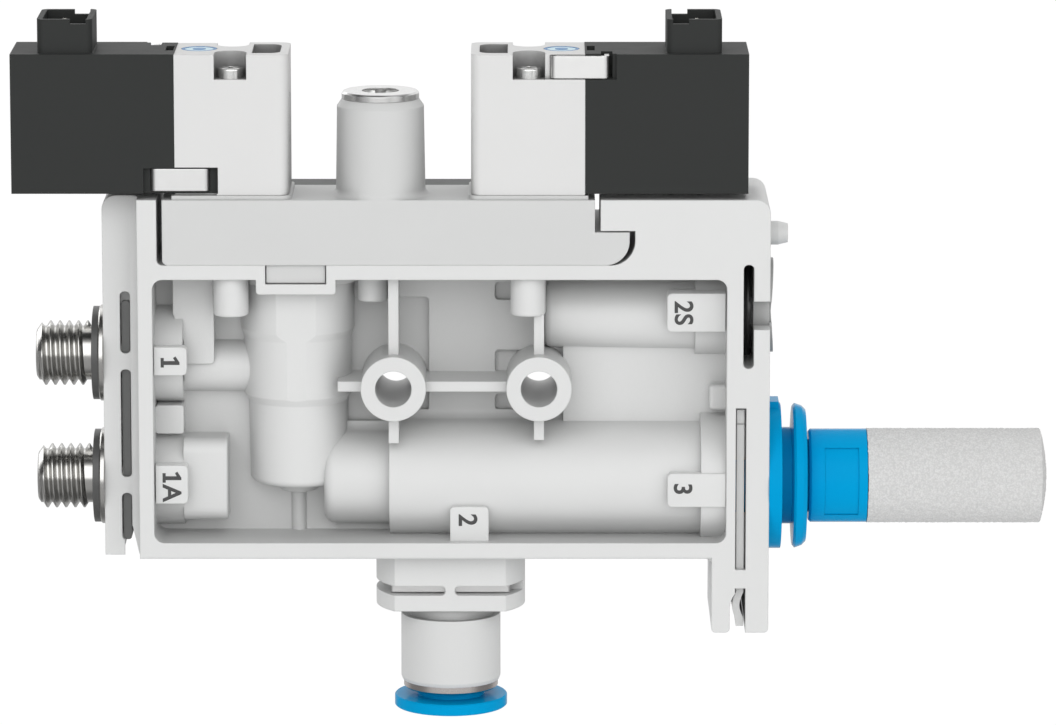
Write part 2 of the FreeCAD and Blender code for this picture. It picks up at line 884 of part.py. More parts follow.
def air_passages():
    """Bores for the main valve, the ejector nozzles, the silencer cartridge and the vacuum port."""
    piston_floor = valve_tube_floor + valve_tube_floor_wall
    spigot_end = wing_left + spigot_length
    jet_left = small_tube_left + jet_inset
    chamber_top = vacuum_socket_top + check_disc_thickness + check_disc_travel + 0.2
    link_radius = 1.0
    link_height = ejector_height + 3.0
    return [
        cylinder_z(piston_floor, seat, piston_bore_radius, valve_tube_x),
        cylinder_x(spigot_end, valve_tube_x - 1.0, supply_bore_radius, 0, supply_tube_height),
        cylinder_x(spigot_end, chamber_right - 1.25, port_bore_radius, 0, ejector_height),
        cylinder_x(valve_tube_x, jet_left, link_radius, 0, link_height),
        cylinder_x(jet_left - 0.3, big_tube_left, jet_bore_radius, 0, ejector_height),
        cylinder_x(big_tube_left, cartridge_left, ejector_bore_radius, 0, ejector_height),
        cylinder_x(cartridge_left, frame_right, cartridge_radius + running_gap, 0, ejector_height),
        cylinder_z(
            flange_floor, vacuum_socket_top, vacuum_spigot_radius + running_gap, vacuum_x
        ),
        cylinder_z(vacuum_socket_top, chamber_top, check_chamber_radius, vacuum_x),
        cylinder_z(chamber_top, ejector_height, 1.7, vacuum_x),
    ]


def vacuum_slots():
    """Channel for the clip's two legs, behind a skin with one web in the middle of each face."""
    reach = vacuum_boss_radius + 1
    skin_rear = -vacuum_boss_flat + vacuum_skin
    cutters = []
    for side in (-1, 1):
        x0, x1 = sorted((vacuum_x + side * vacuum_web / 2, vacuum_x + side * reach))
        window = rounded_box(
            x0,
            x1,
            -vacuum_boss_flat - 1,
            skin_rear,
            flange_top,
            boss_floor,
            vacuum_slot_radius,
            V(0, 1, 0),
        )
        cutters.append(mirrored_in_depth(window))
    channel = box(
        vacuum_x - reach, vacuum_x + reach, skin_rear, -vacuum_channel_inner, flange_top, boss_floor
    )
    cutters.append(mirrored_in_depth(channel))
    bend_right = vacuum_x - vacuum_clip_reach + vacuum_clip_thickness + clip_play
    cutters.append(
        box(vacuum_x - reach, bend_right, -vacuum_boss_flat, vacuum_boss_flat, flange_top, boss_floor)
    )
    return cutters


def silencer_clip_cutters():
    """Channel for the silencer clip, its front windows and the mouth where its tail is bent."""
    left = silencer_clip_left
    right = left + clip_width
    inner = cartridge_groove_radius + ring_gap
    skin = silencer_clip_skin
    channel = box(left, right, front + skin, -inner, leg_floor, silencer_clip_top)
    window = box(left, right, front, front + skin, silencer_window_floor, silencer_clip_top)
    wide = left - silencer_mouth_widening
    bow = (silencer_clip_bow_top + silencer_clip_bow_middle) / 2
    corner = leg_corner_radius
    bulge = corner * (1 - math.sqrt(0.5))
    mouth = outline_plate(
        [
            [(right, silencer_mouth_top), (left, silencer_mouth_top)],
            [(left, silencer_mouth_top), (left, silencer_clip_bow_top)],
            [
                (left, silencer_clip_bow_top),
                (left - silencer_mouth_widening * 0.7, bow),
                (wide, silencer_clip_bow_middle),
            ],
            [(wide, silencer_clip_bow_middle), (wide, leg_floor + corner)],
            [
                (wide, leg_floor + corner),
                (wide - bulge, leg_floor + bulge),
                (wide - corner, leg_floor),
            ],
            [(wide - corner, leg_floor), (right, leg_floor)],
            [(right, leg_floor), (right, silencer_mouth_top)],
        ],
        front,
        rear,
    )
    return [mirrored_in_depth(fused([channel, window])), mouth]


def sensor_cutters():
    """Plug bore, the slot of its sealing ring, and the window that shows the plug's body."""
    left = plug_slot_left
    right = left + plug_slot_width
    half_slot = plug_ring_radius + plug_slot_gap
    slot = rounded_box(
        left,
        right,
        front,
        rear,
        plug_height - half_slot,
        plug_height + half_slot,
        plug_slot_width * 0.45,
        V(0, 1, 0),
    )
    half_window = plug_window_height / 2
    window_middle = plug_height + 0.13
    window = box(right, frame_right, front, rear, window_middle - half_window, window_middle + half_window)
    socket = cylinder_x(right - 0.2, frame_right, plug_body_radius + running_gap, 0, plug_height)
    tail_end = left - plug_tail_length - 0.2
    bore = cylinder_x(tail_end, left + 0.1, plug_bore_radius, 0, plug_height)
    return [slot, window, socket, bore]


def housing():
    body = housing_block()
    pockets = [pocket_cutter(front, web_front), pocket_cutter(web_rear, rear), carrier_recess()]
    body = body.cut(pockets + web_recesses())
    body = body.fuse([pocket_relief(), snap_frames()])
    cutters = [snap_windows()]
    for side in (-1, 1):
        cutters.append(cylinder_y(front, rear, hole_radius, side * hole_spacing / 2))
    cutters += wing_cutters() + air_passages() + vacuum_slots()
    cutters += silencer_clip_cutters() + sensor_cutters()
    body = body.cut(cutters)
    return body.fuse(key_peg()).removeSplitter()


def key_peg():
    """Short peg on the right end, tapered at its tip."""
    tip = key_peg_radius * 0.8
    return turned_x(
        [
            (frame_right - 1.0, 0),
            (frame_right - 1.0, key_peg_radius),
            (frame_right + key_peg_length * 0.5, key_peg_radius),
            (frame_right + key_peg_length, tip),
            (frame_right + key_peg_length, 0),
        ],
        0,
        key_peg_height,
    )


# Carrier, cover strip and flow screw
def valve_carrier():
    left = -frame_left + carrier_inset + carrier_left_gap
    tip = carrier_right + tongue_length
    tongue_top = seat + tongue_height
    plate_body = box(left, carrier_right, front, rear, seat, frame_top)
    tongue = box(carrier_right - 1.0, tip, front, rear, seat, tongue_top)
    tongue = tongue.makeFillet(tongue_radius, depth_edges_near(tongue, tip, seat))
    plate_body = plate_body.makeFillet(hook_gap, depth_edges_near(plate_body, left, seat))
    body = fused([plate_body, tongue, flow_tube()])
    foot = edges_where(
        body,
        lambda edge: abs(edge.CenterOfMass.z - frame_top) < 1e-6
        and edge.Length > flow_tube_radius * 4
        and abs(edge.CenterOfMass.x - flow_x) < 1.0
        and edge.BoundBox.XLength < flow_tube_radius * 2 + 0.1,
    )
    body = body.makeFillet(flow_tube_foot, foot)
    snap_half = snap_width / 2
    snap = box(
        snap_centre - snap_half,
        snap_centre + snap_half,
        front + small_fillet,
        front + snap_depth,
        seat - snap_drop,
        seat + 0.5,
    )
    additions = [mirrored_in_depth(snap)]
    for origin_x, turn in valve_places():
        additions.append(placed_valve(valve_pad(), origin_x, turn))
    body = body.fuse(additions)
    for origin_x, turn in valve_places():
        body = body.cut(placed_valve(valve_base_cutters(), origin_x, turn))
    body = body.cut([strip_box(running_gap)] + flow_cutters())
    return body.removeSplitter()


def flow_tube():
    """Round tower of the flow screw, with a sloping shoulder."""
    radius = flow_tube_radius - flow_tube_taper
    return turned_z(
        [
            (seat + 1.0, 0),
            (seat + 1.0, flow_tube_radius),
            (frame_top, flow_tube_radius),
            (flow_top - flow_tube_shoulder, radius),
            (flow_top, radius - flow_tube_shoulder * 0.7),
            (flow_top, 0),
        ],
        flow_x,
        flow_y,
    )


def strip_box(extra):
    """Dark strip let into the rear edge of the carrier's top."""
    left = -frame_left + carrier_inset + carrier_left_gap + strip_inset
    width = housing_depth - valve_width - valve_front_inset - strip_valve_gap
    return box(
        left - extra,
        carrier_right - strip_inset + extra,
        rear - width - extra,
        rear,
        frame_top - strip_sink - strip_thickness,
        frame_top + extra * 2,
    )


def rear_cover_strip():
    strip = strip_box(0.0)
    top = strip.BoundBox.ZMin + strip_thickness
    return strip.common(box(-frame_left, frame_right, 0, rear, seat, top))


def flow_cutters():
    skirt_floor = flow_top - flow_skirt_length
    needle_seat = seat + flow_needle_seat
    return [
        cylinder_z(skirt_floor, flow_top, flow_cap_radius - flow_skirt_inset, flow_x, flow_y),
        cylinder_z(needle_seat, flow_top, flow_bore_radius, flow_x, flow_y),
        cylinder_z(seat, needle_seat, 0.7, flow_x, flow_y),
    ]


def flow_collar():
    skirt_floor = flow_top - flow_skirt_length
    cap_top = flow_top + flow_cap_thickness
    skirt = flow_cap_radius - flow_skirt_inset - ring_gap
    return turned_z(
        [
            (skirt_floor, flow_bore_radius),
            (skirt_floor, skirt),
            (flow_top, skirt),
            (flow_top, flow_cap_radius),
            (cap_top - flow_cap_bevel, flow_cap_radius),
            (cap_top, flow_cap_radius - flow_cap_bevel),
            (cap_top, flow_bore_radius),
        ],
        flow_x,
        flow_y,
    )


def flow_screw():
    """Slotted needle screw with a groove for its sealing ring."""
    radius = flow_bore_radius - running_gap
    ring_z = flow_screw_top - flow_ring_depth
    groove = radius - flow_ring_groove
    half = flow_ring_groove / 2 + running_gap
    tip = seat + flow_needle_seat + flow_needle_gap
    screw = turned_z(
        [
            (tip, 0),
            (tip, 0.35),
            (tip + 1.6, 0.6),
            (tip + 2.0, radius),
            (ring_z - half, radius),
            (ring_z - half, groove),
            (ring_z + half, groove),
            (ring_z + half, radius),
            (flow_screw_top, radius),
            (flow_screw_top, 0),
        ],
        flow_x,
        flow_y,
    )
    slot = box(
        flow_x - flow_slot_width / 2,
        flow_x + flow_slot_width / 2,
        flow_y - radius,
        flow_y + radius,
        flow_screw_top - flow_slot_depth,
        flow_screw_top,
    )
    return screw.cut(slot)


def flow_screw_seal():
    radius = flow_bore_radius - running_gap
    inner = radius - flow_ring_groove + ring_gap
    return o_ring_z(flow_screw_top - flow_ring_depth, inner, radius, flow_x, flow_y)


# Solenoid valve, modelled once in its own frame and placed twice
def valve_places():
    return ((left_valve_x, 0), (right_valve_x, 180))


def placed_valve(shape, origin_x, turn):
    place = FreeCAD.Placement(
        V(origin_x, valve_centre_y, frame_top), FreeCAD.Rotation(V(0, 0, 1), turn)
    )
    placed = shape.copy()
    placed.Placement = place.multiply(shape.Placement)
    return placed


def gasket_box(extra):
    return box(
        coil_length + gasket_inset - extra,
        valve_length - gasket_inset + extra,
        -gasket_half_width - extra,
        gasket_half_width + extra,
        pad_height - gasket_thickness,
        pad_height,
    )


def valve_pad():
    """Low pad on the carrier, under the valve body and the end of the coil."""
    half = valve_width / 2 + pad_margin
    pad = box(
        coil_length - pad_overlap, valve_length + pad_end, -half, half, -small_fillet, pad_height
    )
    end = edges_where(
        pad, lambda edge: is_along(edge, V(0, 0, 1)) and edge.CenterOfMass.x > valve_length
    )
    return pad.makeFillet(body_edge_radius, end)


def gasket_holes(z0, z1):
    return [cylinder_z(z0, z1, valve_port_radius, coil_length + offset) for offset in valve_port_places]


def valve_base_cutters():
    """What the valve needs in the carrier: a gasket recess, three air holes and two screw holes."""
    cutters = [gasket_box(running_gap)] + gasket_holes(-3.0, pad_height)
    radius = valve_screw_radius + ring_gap
    for side in (-1, 1):
        y = side * valve_screw_offset
        cutters.append(cylinder_z(-valve_screw_reach - 0.3, pad_height, radius, valve_screw_x, y))
    return fused(cutters)


def staple_recess(side, low):
    """Flat recess across the joint between coil and body, open below or above, for one staple."""
    half = valve_width / 2
    floor = staple_floor(low)
    z0 = 0.0 if low else floor - 2 * running_gap
    z1 = floor + staple_height + running_gap if low else coil_height
    y0, y1 = sorted((side * half, side * (half - staple_thickness - running_gap)))
    x0 = staple_x - staple_recess_side
    x1 = staple_x + staple_length + staple_recess_side
    pieces = [box(x0, x1, y0, y1, z0, z1)] + staple_legs(side, low, running_gap)
    if not low:
        slot_inner = sorted((side * half, side * (half - staple_slot_depth)))
        pieces.append(
            box(
                staple_x - staple_slot_play,
                staple_x + staple_thickness + staple_slot_play,
                slot_inner[0],
                slot_inner[1],
                floor - running_gap,
                coil_height,
            )
        )
    return fused(pieces)


def staple_legs(side, low, extra):
    half = valve_width / 2
    z0 = staple_floor(low)
    y0, y1 = sorted((side * (half - staple_thickness * 0.5), side * (half - staple_leg_depth - extra)))
    legs = []
    for x in (staple_x, staple_x + staple_length - staple_thickness):
        legs.append(
            box(x - extra, x + staple_thickness + extra, y0, y1, z0 - extra, z0 + staple_height + extra)
        )
    return legs


def staple_floor(low):
    return staple_low_floor if low else coil_height - staple_height - staple_top_drop


def staple(side, low):
    """Bent steel staple that holds the coil to the valve body."""
    half = valve_width / 2
    z0 = staple_floor(low)
    y0, y1 = sorted((side * half, side * (half - staple_thickness)))
    back = box(staple_x, staple_x + staple_length, y0, y1, z0, z0 + staple_height)
    clip = fused([back] + staple_legs(side, low, 0.0))
    bends = edges_where(
        clip,
        lambda edge: is_along(edge, V(0, 0, 1))
        and abs(abs(edge.CenterOfMass.y) - half) < 1e-6
        and edge.CenterOfMass.y * side > 0,
    )
    return clip.makeFillet(staple_bend_radius, bends)


def coil_housing():
    half = valve_width / 2
    block = box(0, coil_length, -half, half, coil_lift, coil_height)
    half_well = plug_well_width / 2
    well_right = plug_well_x + plug_well_length
    well_top = coil_height + plug_well_height
    well = rounded_box(
        plug_well_x,
        well_right,
        -half_well,
        half_well,
        coil_height - 0.5,
        well_top,
        plug_well_radius,
        V(0, 0, 1),
    )
    body = fused([block, well, coil_lug(0.0)])
    wall = plug_well_wall
    inside = rounded_box(
        plug_well_x + wall,
        well_right - wall,
        -half_well + wall,
        half_well - wall,
        coil_height + plug_well_floor,
        well_top,
        small_fillet,
        V(0, 0, 1),
    )
    notch_left = plug_well_x + plug_key_inset
    key_notch = box(
        notch_left, notch_left + plug_key_width, -half_well, half_well, well_top - plug_key_depth, well_top
    )
    vent = box(coil_length - 1.05, coil_length - 0.2, -1.8, 1.7, coil_height - 0.5, coil_height)
    cutters = [inside, key_notch, vent, staple_recess(-1, True), staple_recess(1, False)]
    cutters += coil_cavities() + pin_holes(running_gap)
    return body.cut(cutters)


def coil_lug(extra):
    """Lug of the coil that reaches into the valve body behind the lower staple."""
    half = valve_width / 2
    return box(
        coil_length - 1.0,
        coil_length + coil_lug_reach + extra,
        -half,
        -half + coil_lug_depth + extra,
        coil_lift,
        staple_floor(True) + staple_height + 2 * running_gap + extra,
    )


def coil_cavities():
    """Annular space for the winding and the bore for the armature and its spring."""
    winding = winding_ring(0.0)
    bore = cylinder_x(
        armature_stop, coil_length, armature_radius + running_gap, 0, actuator_height
    )
    return [winding, bore]


def winding_ring(gap):
    return tube_x(
        winding_start + gap,
        coil_length - winding_end_wall - gap,
        valve_width / 2 - winding_wall - gap,
        armature_radius + winding_core_wall + gap,
        0,
        actuator_height,
    )


def coil_winding():
    return winding_ring(ring_gap)


def armature():
    """Steel plunger with a pocket for its spring and a flat end at the valve seat."""
    start = armature_stop + armature_travel
    end = coil_length + armature_reach
    plunger = cylinder_x(start, end, armature_radius, 0, actuator_height)
    pocket_end = start + armature_pocket_length
    return plunger.cut(cylinder_x(start, pocket_end, armature_pocket_radius, 0, actuator_height))


def armature_spring():
    length = armature_travel + armature_pocket_length
    wire = armature_spring_wire
    base = V(armature_stop + wire / 2, 0, actuator_height)
    turns = armature_spring_turns
    return coil_spring(armature_spring_radius, wire, length - wire, turns, base, V(1, 0, 0))


def coil_spring(radius, wire, height, turns, base, axis):
    """Helical spring of square wire, along an axis from a base point."""
    helix = Part.makeHelix(height / turns, height, radius)
    half = wire / 2
    section = Part.makePolygon(
        [
            V(radius - half, 0, -half),
            V(radius + half, 0, -half),
            V(radius + half, 0, half),
            V(radius - half, 0, half),
            V(radius - half, 0, -half),
        ]
    )
    spring = Part.Wire(helix.Edges).makePipeShell([section], True, True)
    spring = Part.Solid(spring) if spring.ShapeType != "Solid" else spring
    spring.Placement = FreeCAD.Placement(base, FreeCAD.Rotation(V(0, 0, 1), axis))
    return spring


def pin_places():
    return [(plug_well_x + pin_inset, side * pin_pitch / 2) for side in (-1, 1)]


def pin_holes(extra):
    half = pin_thickness / 2 + extra
    z0, z1 = coil_height - pin_root, coil_height + plug_well_floor
    return [box(x - half, x + half, y - half, y + half, z0, z1) for x, y in pin_places()]


def connector_pins():
    half = pin_thickness / 2
    top = coil_height + plug_well_height - pin_drop
    pins = []
    for x, y in pin_places():
        pin = box(x - half, x + half, y - half, y + half, coil_height - pin_root, top)
        tip = edges_where(pin, lambda edge: edge.CenterOfMass.z > top - 1e-6)
        pins.append(pin.makeChamfer(pin_thickness * 0.25, tip))
    return Part.makeCompound(pins)


def valve_body():
    half = valve_width / 2
    block = box(coil_length, valve_length, -half, half, pad_height, body_height)
    outer_edges = edges_where(
        block, lambda edge: is_along(edge, V(0, 0, 1)) and edge.CenterOfMass.x > coil_length + 1.0
    )
    body = block.makeFillet(body_edge_radius, outer_edges)
    cutters = [staple_recess(-1, True), staple_recess(1, False), coil_lug(running_gap)]
    for side in (-1, 1):
        cutters += screw_cutters(side)
    cutters.append(end_pocket())
    button_floor = body_height - override_height - override_travel - running_gap
    button_radius = override_radius + running_gap
    stem_radius = override_stem_radius + running_gap
    cutters.append(cylinder_z(button_floor, body_height + 1.0, button_radius, override_x))
    cutters.append(cylinder_z(actuator_height, body_height, stem_radius, override_x))
    groove = 0.15
    half_line = 0.08
    cutters.append(
        tube_x(
            valve_length - groove,
            valve_length,
            mark_radius + half_line,
            mark_radius - half_line,
            0,
            actuator_height,
        )
    )
    cutters += seat_cavity()
    return body.cut(cutters)


def seat_cavity():
    """Valve chamber at the armature's end, its seat nozzle and the three ports in the base."""
    seat_x = coil_length + armature_reach
    chamber_end = coil_length + seat_chamber_end
    chamber_radius = armature_radius + winding_core_wall
    chamber = cylinder_x(coil_length, chamber_end, chamber_radius, 0, actuator_height)
    nozzle = tube_x(seat_x, chamber_end, seat_nozzle_radius, seat_bore_radius, 0, actuator_height)
    inlet, outlet, exhaust = [coil_length + offset for offset in valve_port_places]
    bore = cylinder_x(seat_x, outlet, seat_bore_radius, 0, actuator_height)
    ports = [
        cylinder_z(0, actuator_height - seat_nozzle_radius - 0.1, valve_port_radius, inlet),
        cylinder_z(0, actuator_height, seat_bore_radius, outlet),
        cylinder_z(0, actuator_height / 2, valve_port_radius, exhaust),
    ]
    return [chamber.cut(nozzle), bore] + ports


def screw_cutters(side):
    """Notch that is open to one face, round inside, and the hole down to the carrier."""
    floor = body_height - screw_notch_depth
    y_face, y_centre = side * valve_width / 2, side * valve_screw_offset
    y0, y1 = sorted((y_face, y_centre))
    half = screw_notch_width / 2
    notch = box(valve_screw_x - half, valve_screw_x + half, y0, y1, floor, body_height + 0.5)
    round_end = cylinder_z(floor, body_height + 0.5, half, valve_screw_x, y_centre)
    hole = cylinder_z(0, floor, valve_screw_radius + running_gap, valve_screw_x, y_centre)
    return [notch, round_end, hole]


def end_pocket():
    """Open pocket in the top beside the round end."""
    x1 = valve_length - end_pocket_wall
    half = valve_width / 2 - end_pocket_side
    pocket = box(
        x1 - end_pocket_length, x1, -half, half, body_height - end_pocket_depth, body_height + 0.5
    )
    corners = edges_where(
        pocket, lambda edge: is_along(edge, V(0, 0, 1)) and edge.CenterOfMass.x > x1 - 0.1
    )
    return pocket.makeFillet(end_pocket_radius, corners)


def override_button():
    """Push button with a raised rim, a ring-shaped recess and a small eye in the middle."""
    top = body_height
    floor = top - override_height
    button = cylinder_z(floor, top, override_radius, override_x)
    recess = tube_z(
        top - override_recess, top, override_radius - override_rim, override_eye_radius, override_x
    )
    stem = cylinder_z(floor - override_stem_length, floor, override_stem_radius, override_x)
    return fused([button.cut(recess), stem])


def valve_screws():
    floor = body_height - screw_notch_depth
    top = floor + valve_screw_head_height
    cross_floor = top - 0.5
    screws = []
    for side in (-1, 1):
        y = side * valve_screw_offset
        head = cylinder_z(floor, top, valve_screw_head_radius, valve_screw_x, y)
        head = head.makeFillet(0.2, rims_at(head, V(0, 0, 1), top, valve_screw_head_radius))
        cross = [
            box(valve_screw_x - 0.2, valve_screw_x + 0.2, y - 0.8, y + 0.8, cross_floor, top),
            box(valve_screw_x - 0.8, valve_screw_x + 0.8, y - 0.2, y + 0.2, cross_floor, top),
        ]
        shank = cylinder_z(-valve_screw_reach, floor, valve_screw_radius, valve_screw_x, y)
        screws.append(fused([head.cut(cross), shank]))
    return Part.makeCompound(screws)


def valve_gasket():
    low = pad_height - gasket_thickness
    return gasket_box(0.0).cut(gasket_holes(low - 0.1, pad_height + 0.1))


# Threaded ports on the left
def port_fitting(height):
    """Turned fitting: male thread, flange and a grooved spigot inside the housing."""
    flange_left = wing_left - flange_thickness
    thread_end = flange_left - washer_thickness
    tip = thread_end - thread_length
    groove_left = supply_clip_left - clip_play
    groove_right = supply_clip_left + clip_width + clip_play
    ring_left = groove_right + o_ring_wall
    ring_right = ring_left + o_ring_section + 0.2
    ring_floor = spigot_radius - o_ring_section * 0.9
    points = [
        (tip, port_bore_radius),
        (tip, thread_tip_radius),
        (tip + thread_tip_length, thread_radius),
        (thread_end - thread_relief_length, thread_radius),
        (thread_end - thread_relief_length, thread_relief_radius),
        (flange_left, thread_relief_radius),
        (flange_left, flange_radius - 0.15),
        (flange_left + 0.15, flange_radius),
        (wing_left, flange_radius),
        (wing_left, spigot_radius),
        (groove_left, spigot_radius),
        (groove_left, spigot_groove_radius),
        (groove_right, spigot_groove_radius),
        (groove_right, spigot_radius),
        (ring_left, spigot_radius),
        (ring_left, ring_floor),
        (ring_right, ring_floor),
        (ring_right, spigot_radius),
        (wing_left + spigot_length, spigot_radius),
        (wing_left + spigot_length, port_bore_radius),
    ]
    return turned_x(points, 0, height)


def port_washer(height):
    end = wing_left - flange_thickness
    inner = thread_relief_radius + ring_gap
    return tube_x(end - washer_thickness, end, washer_radius, inner, 0, height)


def port_o_ring(height):
    ring_left = supply_clip_left + clip_width + clip_play + o_ring_wall
    ring_centre = ring_left + (o_ring_section + 0.2) / 2
    inner = spigot_radius - o_ring_section * 0.9 + ring_gap
    return o_ring_x(ring_centre, inner, spigot_radius + ring_gap, 0, height)


def supply_clip():
    """Spring strip bent to a U: two legs pass the grooves of both fittings."""
    left = supply_clip_left + clip_play
    right = supply_clip_left + clip_width - clip_play
    inner = spigot_groove_radius + ring_gap
    outer = inner + supply_clip_thickness
    leg = rounded_box(
        left, right, -outer, -inner, supply_clip_floor, supply_clip_top, small_fillet, V(0, 1, 0)
    )
    bridge = rounded_box(
        left,
        right,
        -outer,
        outer,
        supply_clip_floor,
        supply_clip_floor + supply_clip_thickness,
        small_fillet,
        V(0, 1, 0),
    )
    return fused([mirrored_in_depth(leg), bridge])


# Sensor plug on the right
def sensor_plug():
    """Blanking plug: disc outside, body in the end wall, ring carrier and tail in the bore."""
    left = plug_slot_left
    carrier_left = left + 0.1
    body_left = left + plug_slot_width
    centre = left + plug_slot_width / 2
    ring_floor = plug_ring_radius - plug_ring_section
    tail = plug_bore_radius - running_gap
    face = frame_right + plug_disc_thickness
    points = [
        (left - plug_tail_length, 0),
        (left - plug_tail_length, tail - chamfer),
        (left - plug_tail_length + chamfer, tail),
        (carrier_left, tail),
        (carrier_left, ring_floor),
        (centre, ring_floor - 0.15),
        (body_left, ring_floor),
        (body_left, plug_body_radius),
        (frame_right, plug_body_radius),
        (frame_right, plug_disc_radius),
        (face, plug_disc_radius),
        (face, 0),
    ]
    plug = turned_x(points, 0, plug_height)
    half_grip = 1.1
    grip_depth = 0.9
    grip = box(
        frame_right,
        face,
        -plug_disc_radius,
        -plug_disc_radius + grip_depth,
        plug_height - half_grip,
        plug_height + half_grip,
    )
    groove = plate(
        [
            (face - plug_disc_groove, plug_height),
            (face, plug_height + plug_disc_radius),
            (face, plug_height - plug_disc_radius),
        ],
        -plug_disc_radius,
        plug_disc_radius,
    )
    return plug.cut([grip, groove])


def sensor_plug_o_ring():
    centre = plug_slot_left + plug_slot_width / 2
    inner = plug_ring_radius - plug_ring_section + ring_gap
    return o_ring_x(centre, inner, plug_ring_radius, 0, plug_height)


# Silencer with its push-in cartridge
def silencer_cartridge():
    """Socket with a flange outside and a clip groove inside the housing."""
    left = cartridge_left
    groove_left = silencer_clip_left - clip_play
    groove_right = silencer_clip_left + clip_width + clip_play
    flange_right = frame_right + cartridge_flange_thickness
    stub = silencer_stub_radius + running_gap
    neck = silencer_neck_radius + running_gap
    seal_left = left + silencer_seal_offset
    seal_right = seal_left + silencer_seal_width
    points = [
        (left, silencer_bore_radius),
        (left, cartridge_radius),
        (groove_left, cartridge_radius),
        (groove_left, cartridge_groove_radius),
        (groove_right, cartridge_groove_radius),
        (groove_right, cartridge_radius),
        (frame_right, cartridge_radius),
        (frame_right, cartridge_flange_radius),
        (flange_right, cartridge_flange_radius),
        (flange_right, neck),
        (seal_right + 0.5, neck),
        (seal_right + 0.5, stub),
        (seal_right, stub),
        (seal_right, silencer_seal_radius),
        (seal_left, silencer_seal_radius),
        (seal_left, stub),
        (left + cartridge_floor, stub),
        (left + cartridge_floor, silencer_bore_radius),
    ]
    body = turned_x(points, 0, ejector_height)
    key_top = ejector_height + cartridge_flange_radius + cartridge_key_reach
    key = box(
        frame_right,
        frame_right + cartridge_flange_thickness * 0.85,
        -cartridge_key_width / 2,
        cartridge_key_width / 2,
        key_top - cartridge_key_height,
        key_top,
    )
    return fused([body, key])


def silencer_tube_seal():
    centre = cartridge_left + silencer_seal_offset + silencer_seal_width / 2
    inner = silencer_stub_radius + ring_gap
    return o_ring_x(centre, inner, silencer_seal_radius - ring_gap, 0, ejector_height)


def silencer_collet():
    """Toothed ring that grips the silencer's stub."""
    left = cartridge_left + silencer_collet_offset
    right = left + collet_length
    stub = silencer_stub_radius + running_gap
    outer = silencer_neck_radius
    ring = turned_x(
        [(left, stub + 0.5), (left, outer), (right, outer), (right, stub)], 0, ejector_height
    )
    slots = [
        box(left + 0.3, right + 0.1, -0.15, 0.15, 0, outer + 1)
        .rotate(V(0, 0, 0), V(1, 0, 0), 45 * step)
        .translate(V(0, 0, ejector_height))
        for step in range(8)
    ]
    return ring.cut(slots)


def silencer_release_ring():
    """Blue ring that is pushed in to free the silencer."""
    face = release_face
    sleeve_left = (
        cartridge_left + silencer_collet_offset + collet_length + silencer_release_travel + running_gap
    )
    stub = silencer_stub_radius + running_gap
    end = face + silencer_release_thickness
    points = [
        (sleeve_left, stub),
        (sleeve_left, silencer_neck_radius),
        (face, silencer_neck_radius),
        (face + 0.15, silencer_release_radius - 0.3),
        (face + 0.4, silencer_release_radius),
        (end - 0.4, silencer_release_end_radius),
        (end, silencer_release_end_radius - 0.4),
        (end, stub),
    ]
    return turned_x(points, 0, ejector_height)


def silencer_sleeve():
    """Blue collar of the silencer with the stub that plugs into the cartridge."""
    face = silencer_face
    bevel = 0.25
    stub_left = cartridge_left + cartridge_floor + 0.1
    points = [
        (stub_left, silencer_bore_radius),
        (stub_left, silencer_stub_radius - 0.2),
        (stub_left + 0.2, silencer_stub_radius),
        (face, silencer_stub_radius),
        (face, sleeve_radius - bevel),
        (face + bevel, sleeve_radius),
        (face + sleeve_length, sleeve_radius),
        (face + sleeve_length, silencer_bore_radius),
    ]
    sleeve = turned_x(points, 0, ejector_height)
    x0 = face + sleeve_recess_left
    x1 = x0 + sleeve_recess_length
    half = sleeve_recess_height / 2
    band = tube_x(
        x0, x1, sleeve_radius + 0.5, sleeve_radius - sleeve_recess_depth, 0, ejector_height
    )
    field = box(
        x0, x1, -sleeve_radius - 1, 0, ejector_height - half, ejector_height + half
    )
    return sleeve.cut(band.common(field))


def silencer_element():
    """Sintered porous plastic cap with a domed, closed end."""
    left = silencer_face + sleeve_length
    end = left + element_length
    outer = cylinder_x(left, end, element_radius, 0, ejector_height)
    outer = outer.makeFillet(element_rounding, rims_at(outer, V(1, 0, 0), end, element_radius))
    start = left - element_spigot
    spigot = cylinder_x(start, left, silencer_bore_radius - ring_gap, 0, ejector_height)
    hollow = cylinder_x(start, end - element_wall, element_bore_radius, 0, ejector_height)
    return fused([outer, spigot]).cut(hollow)


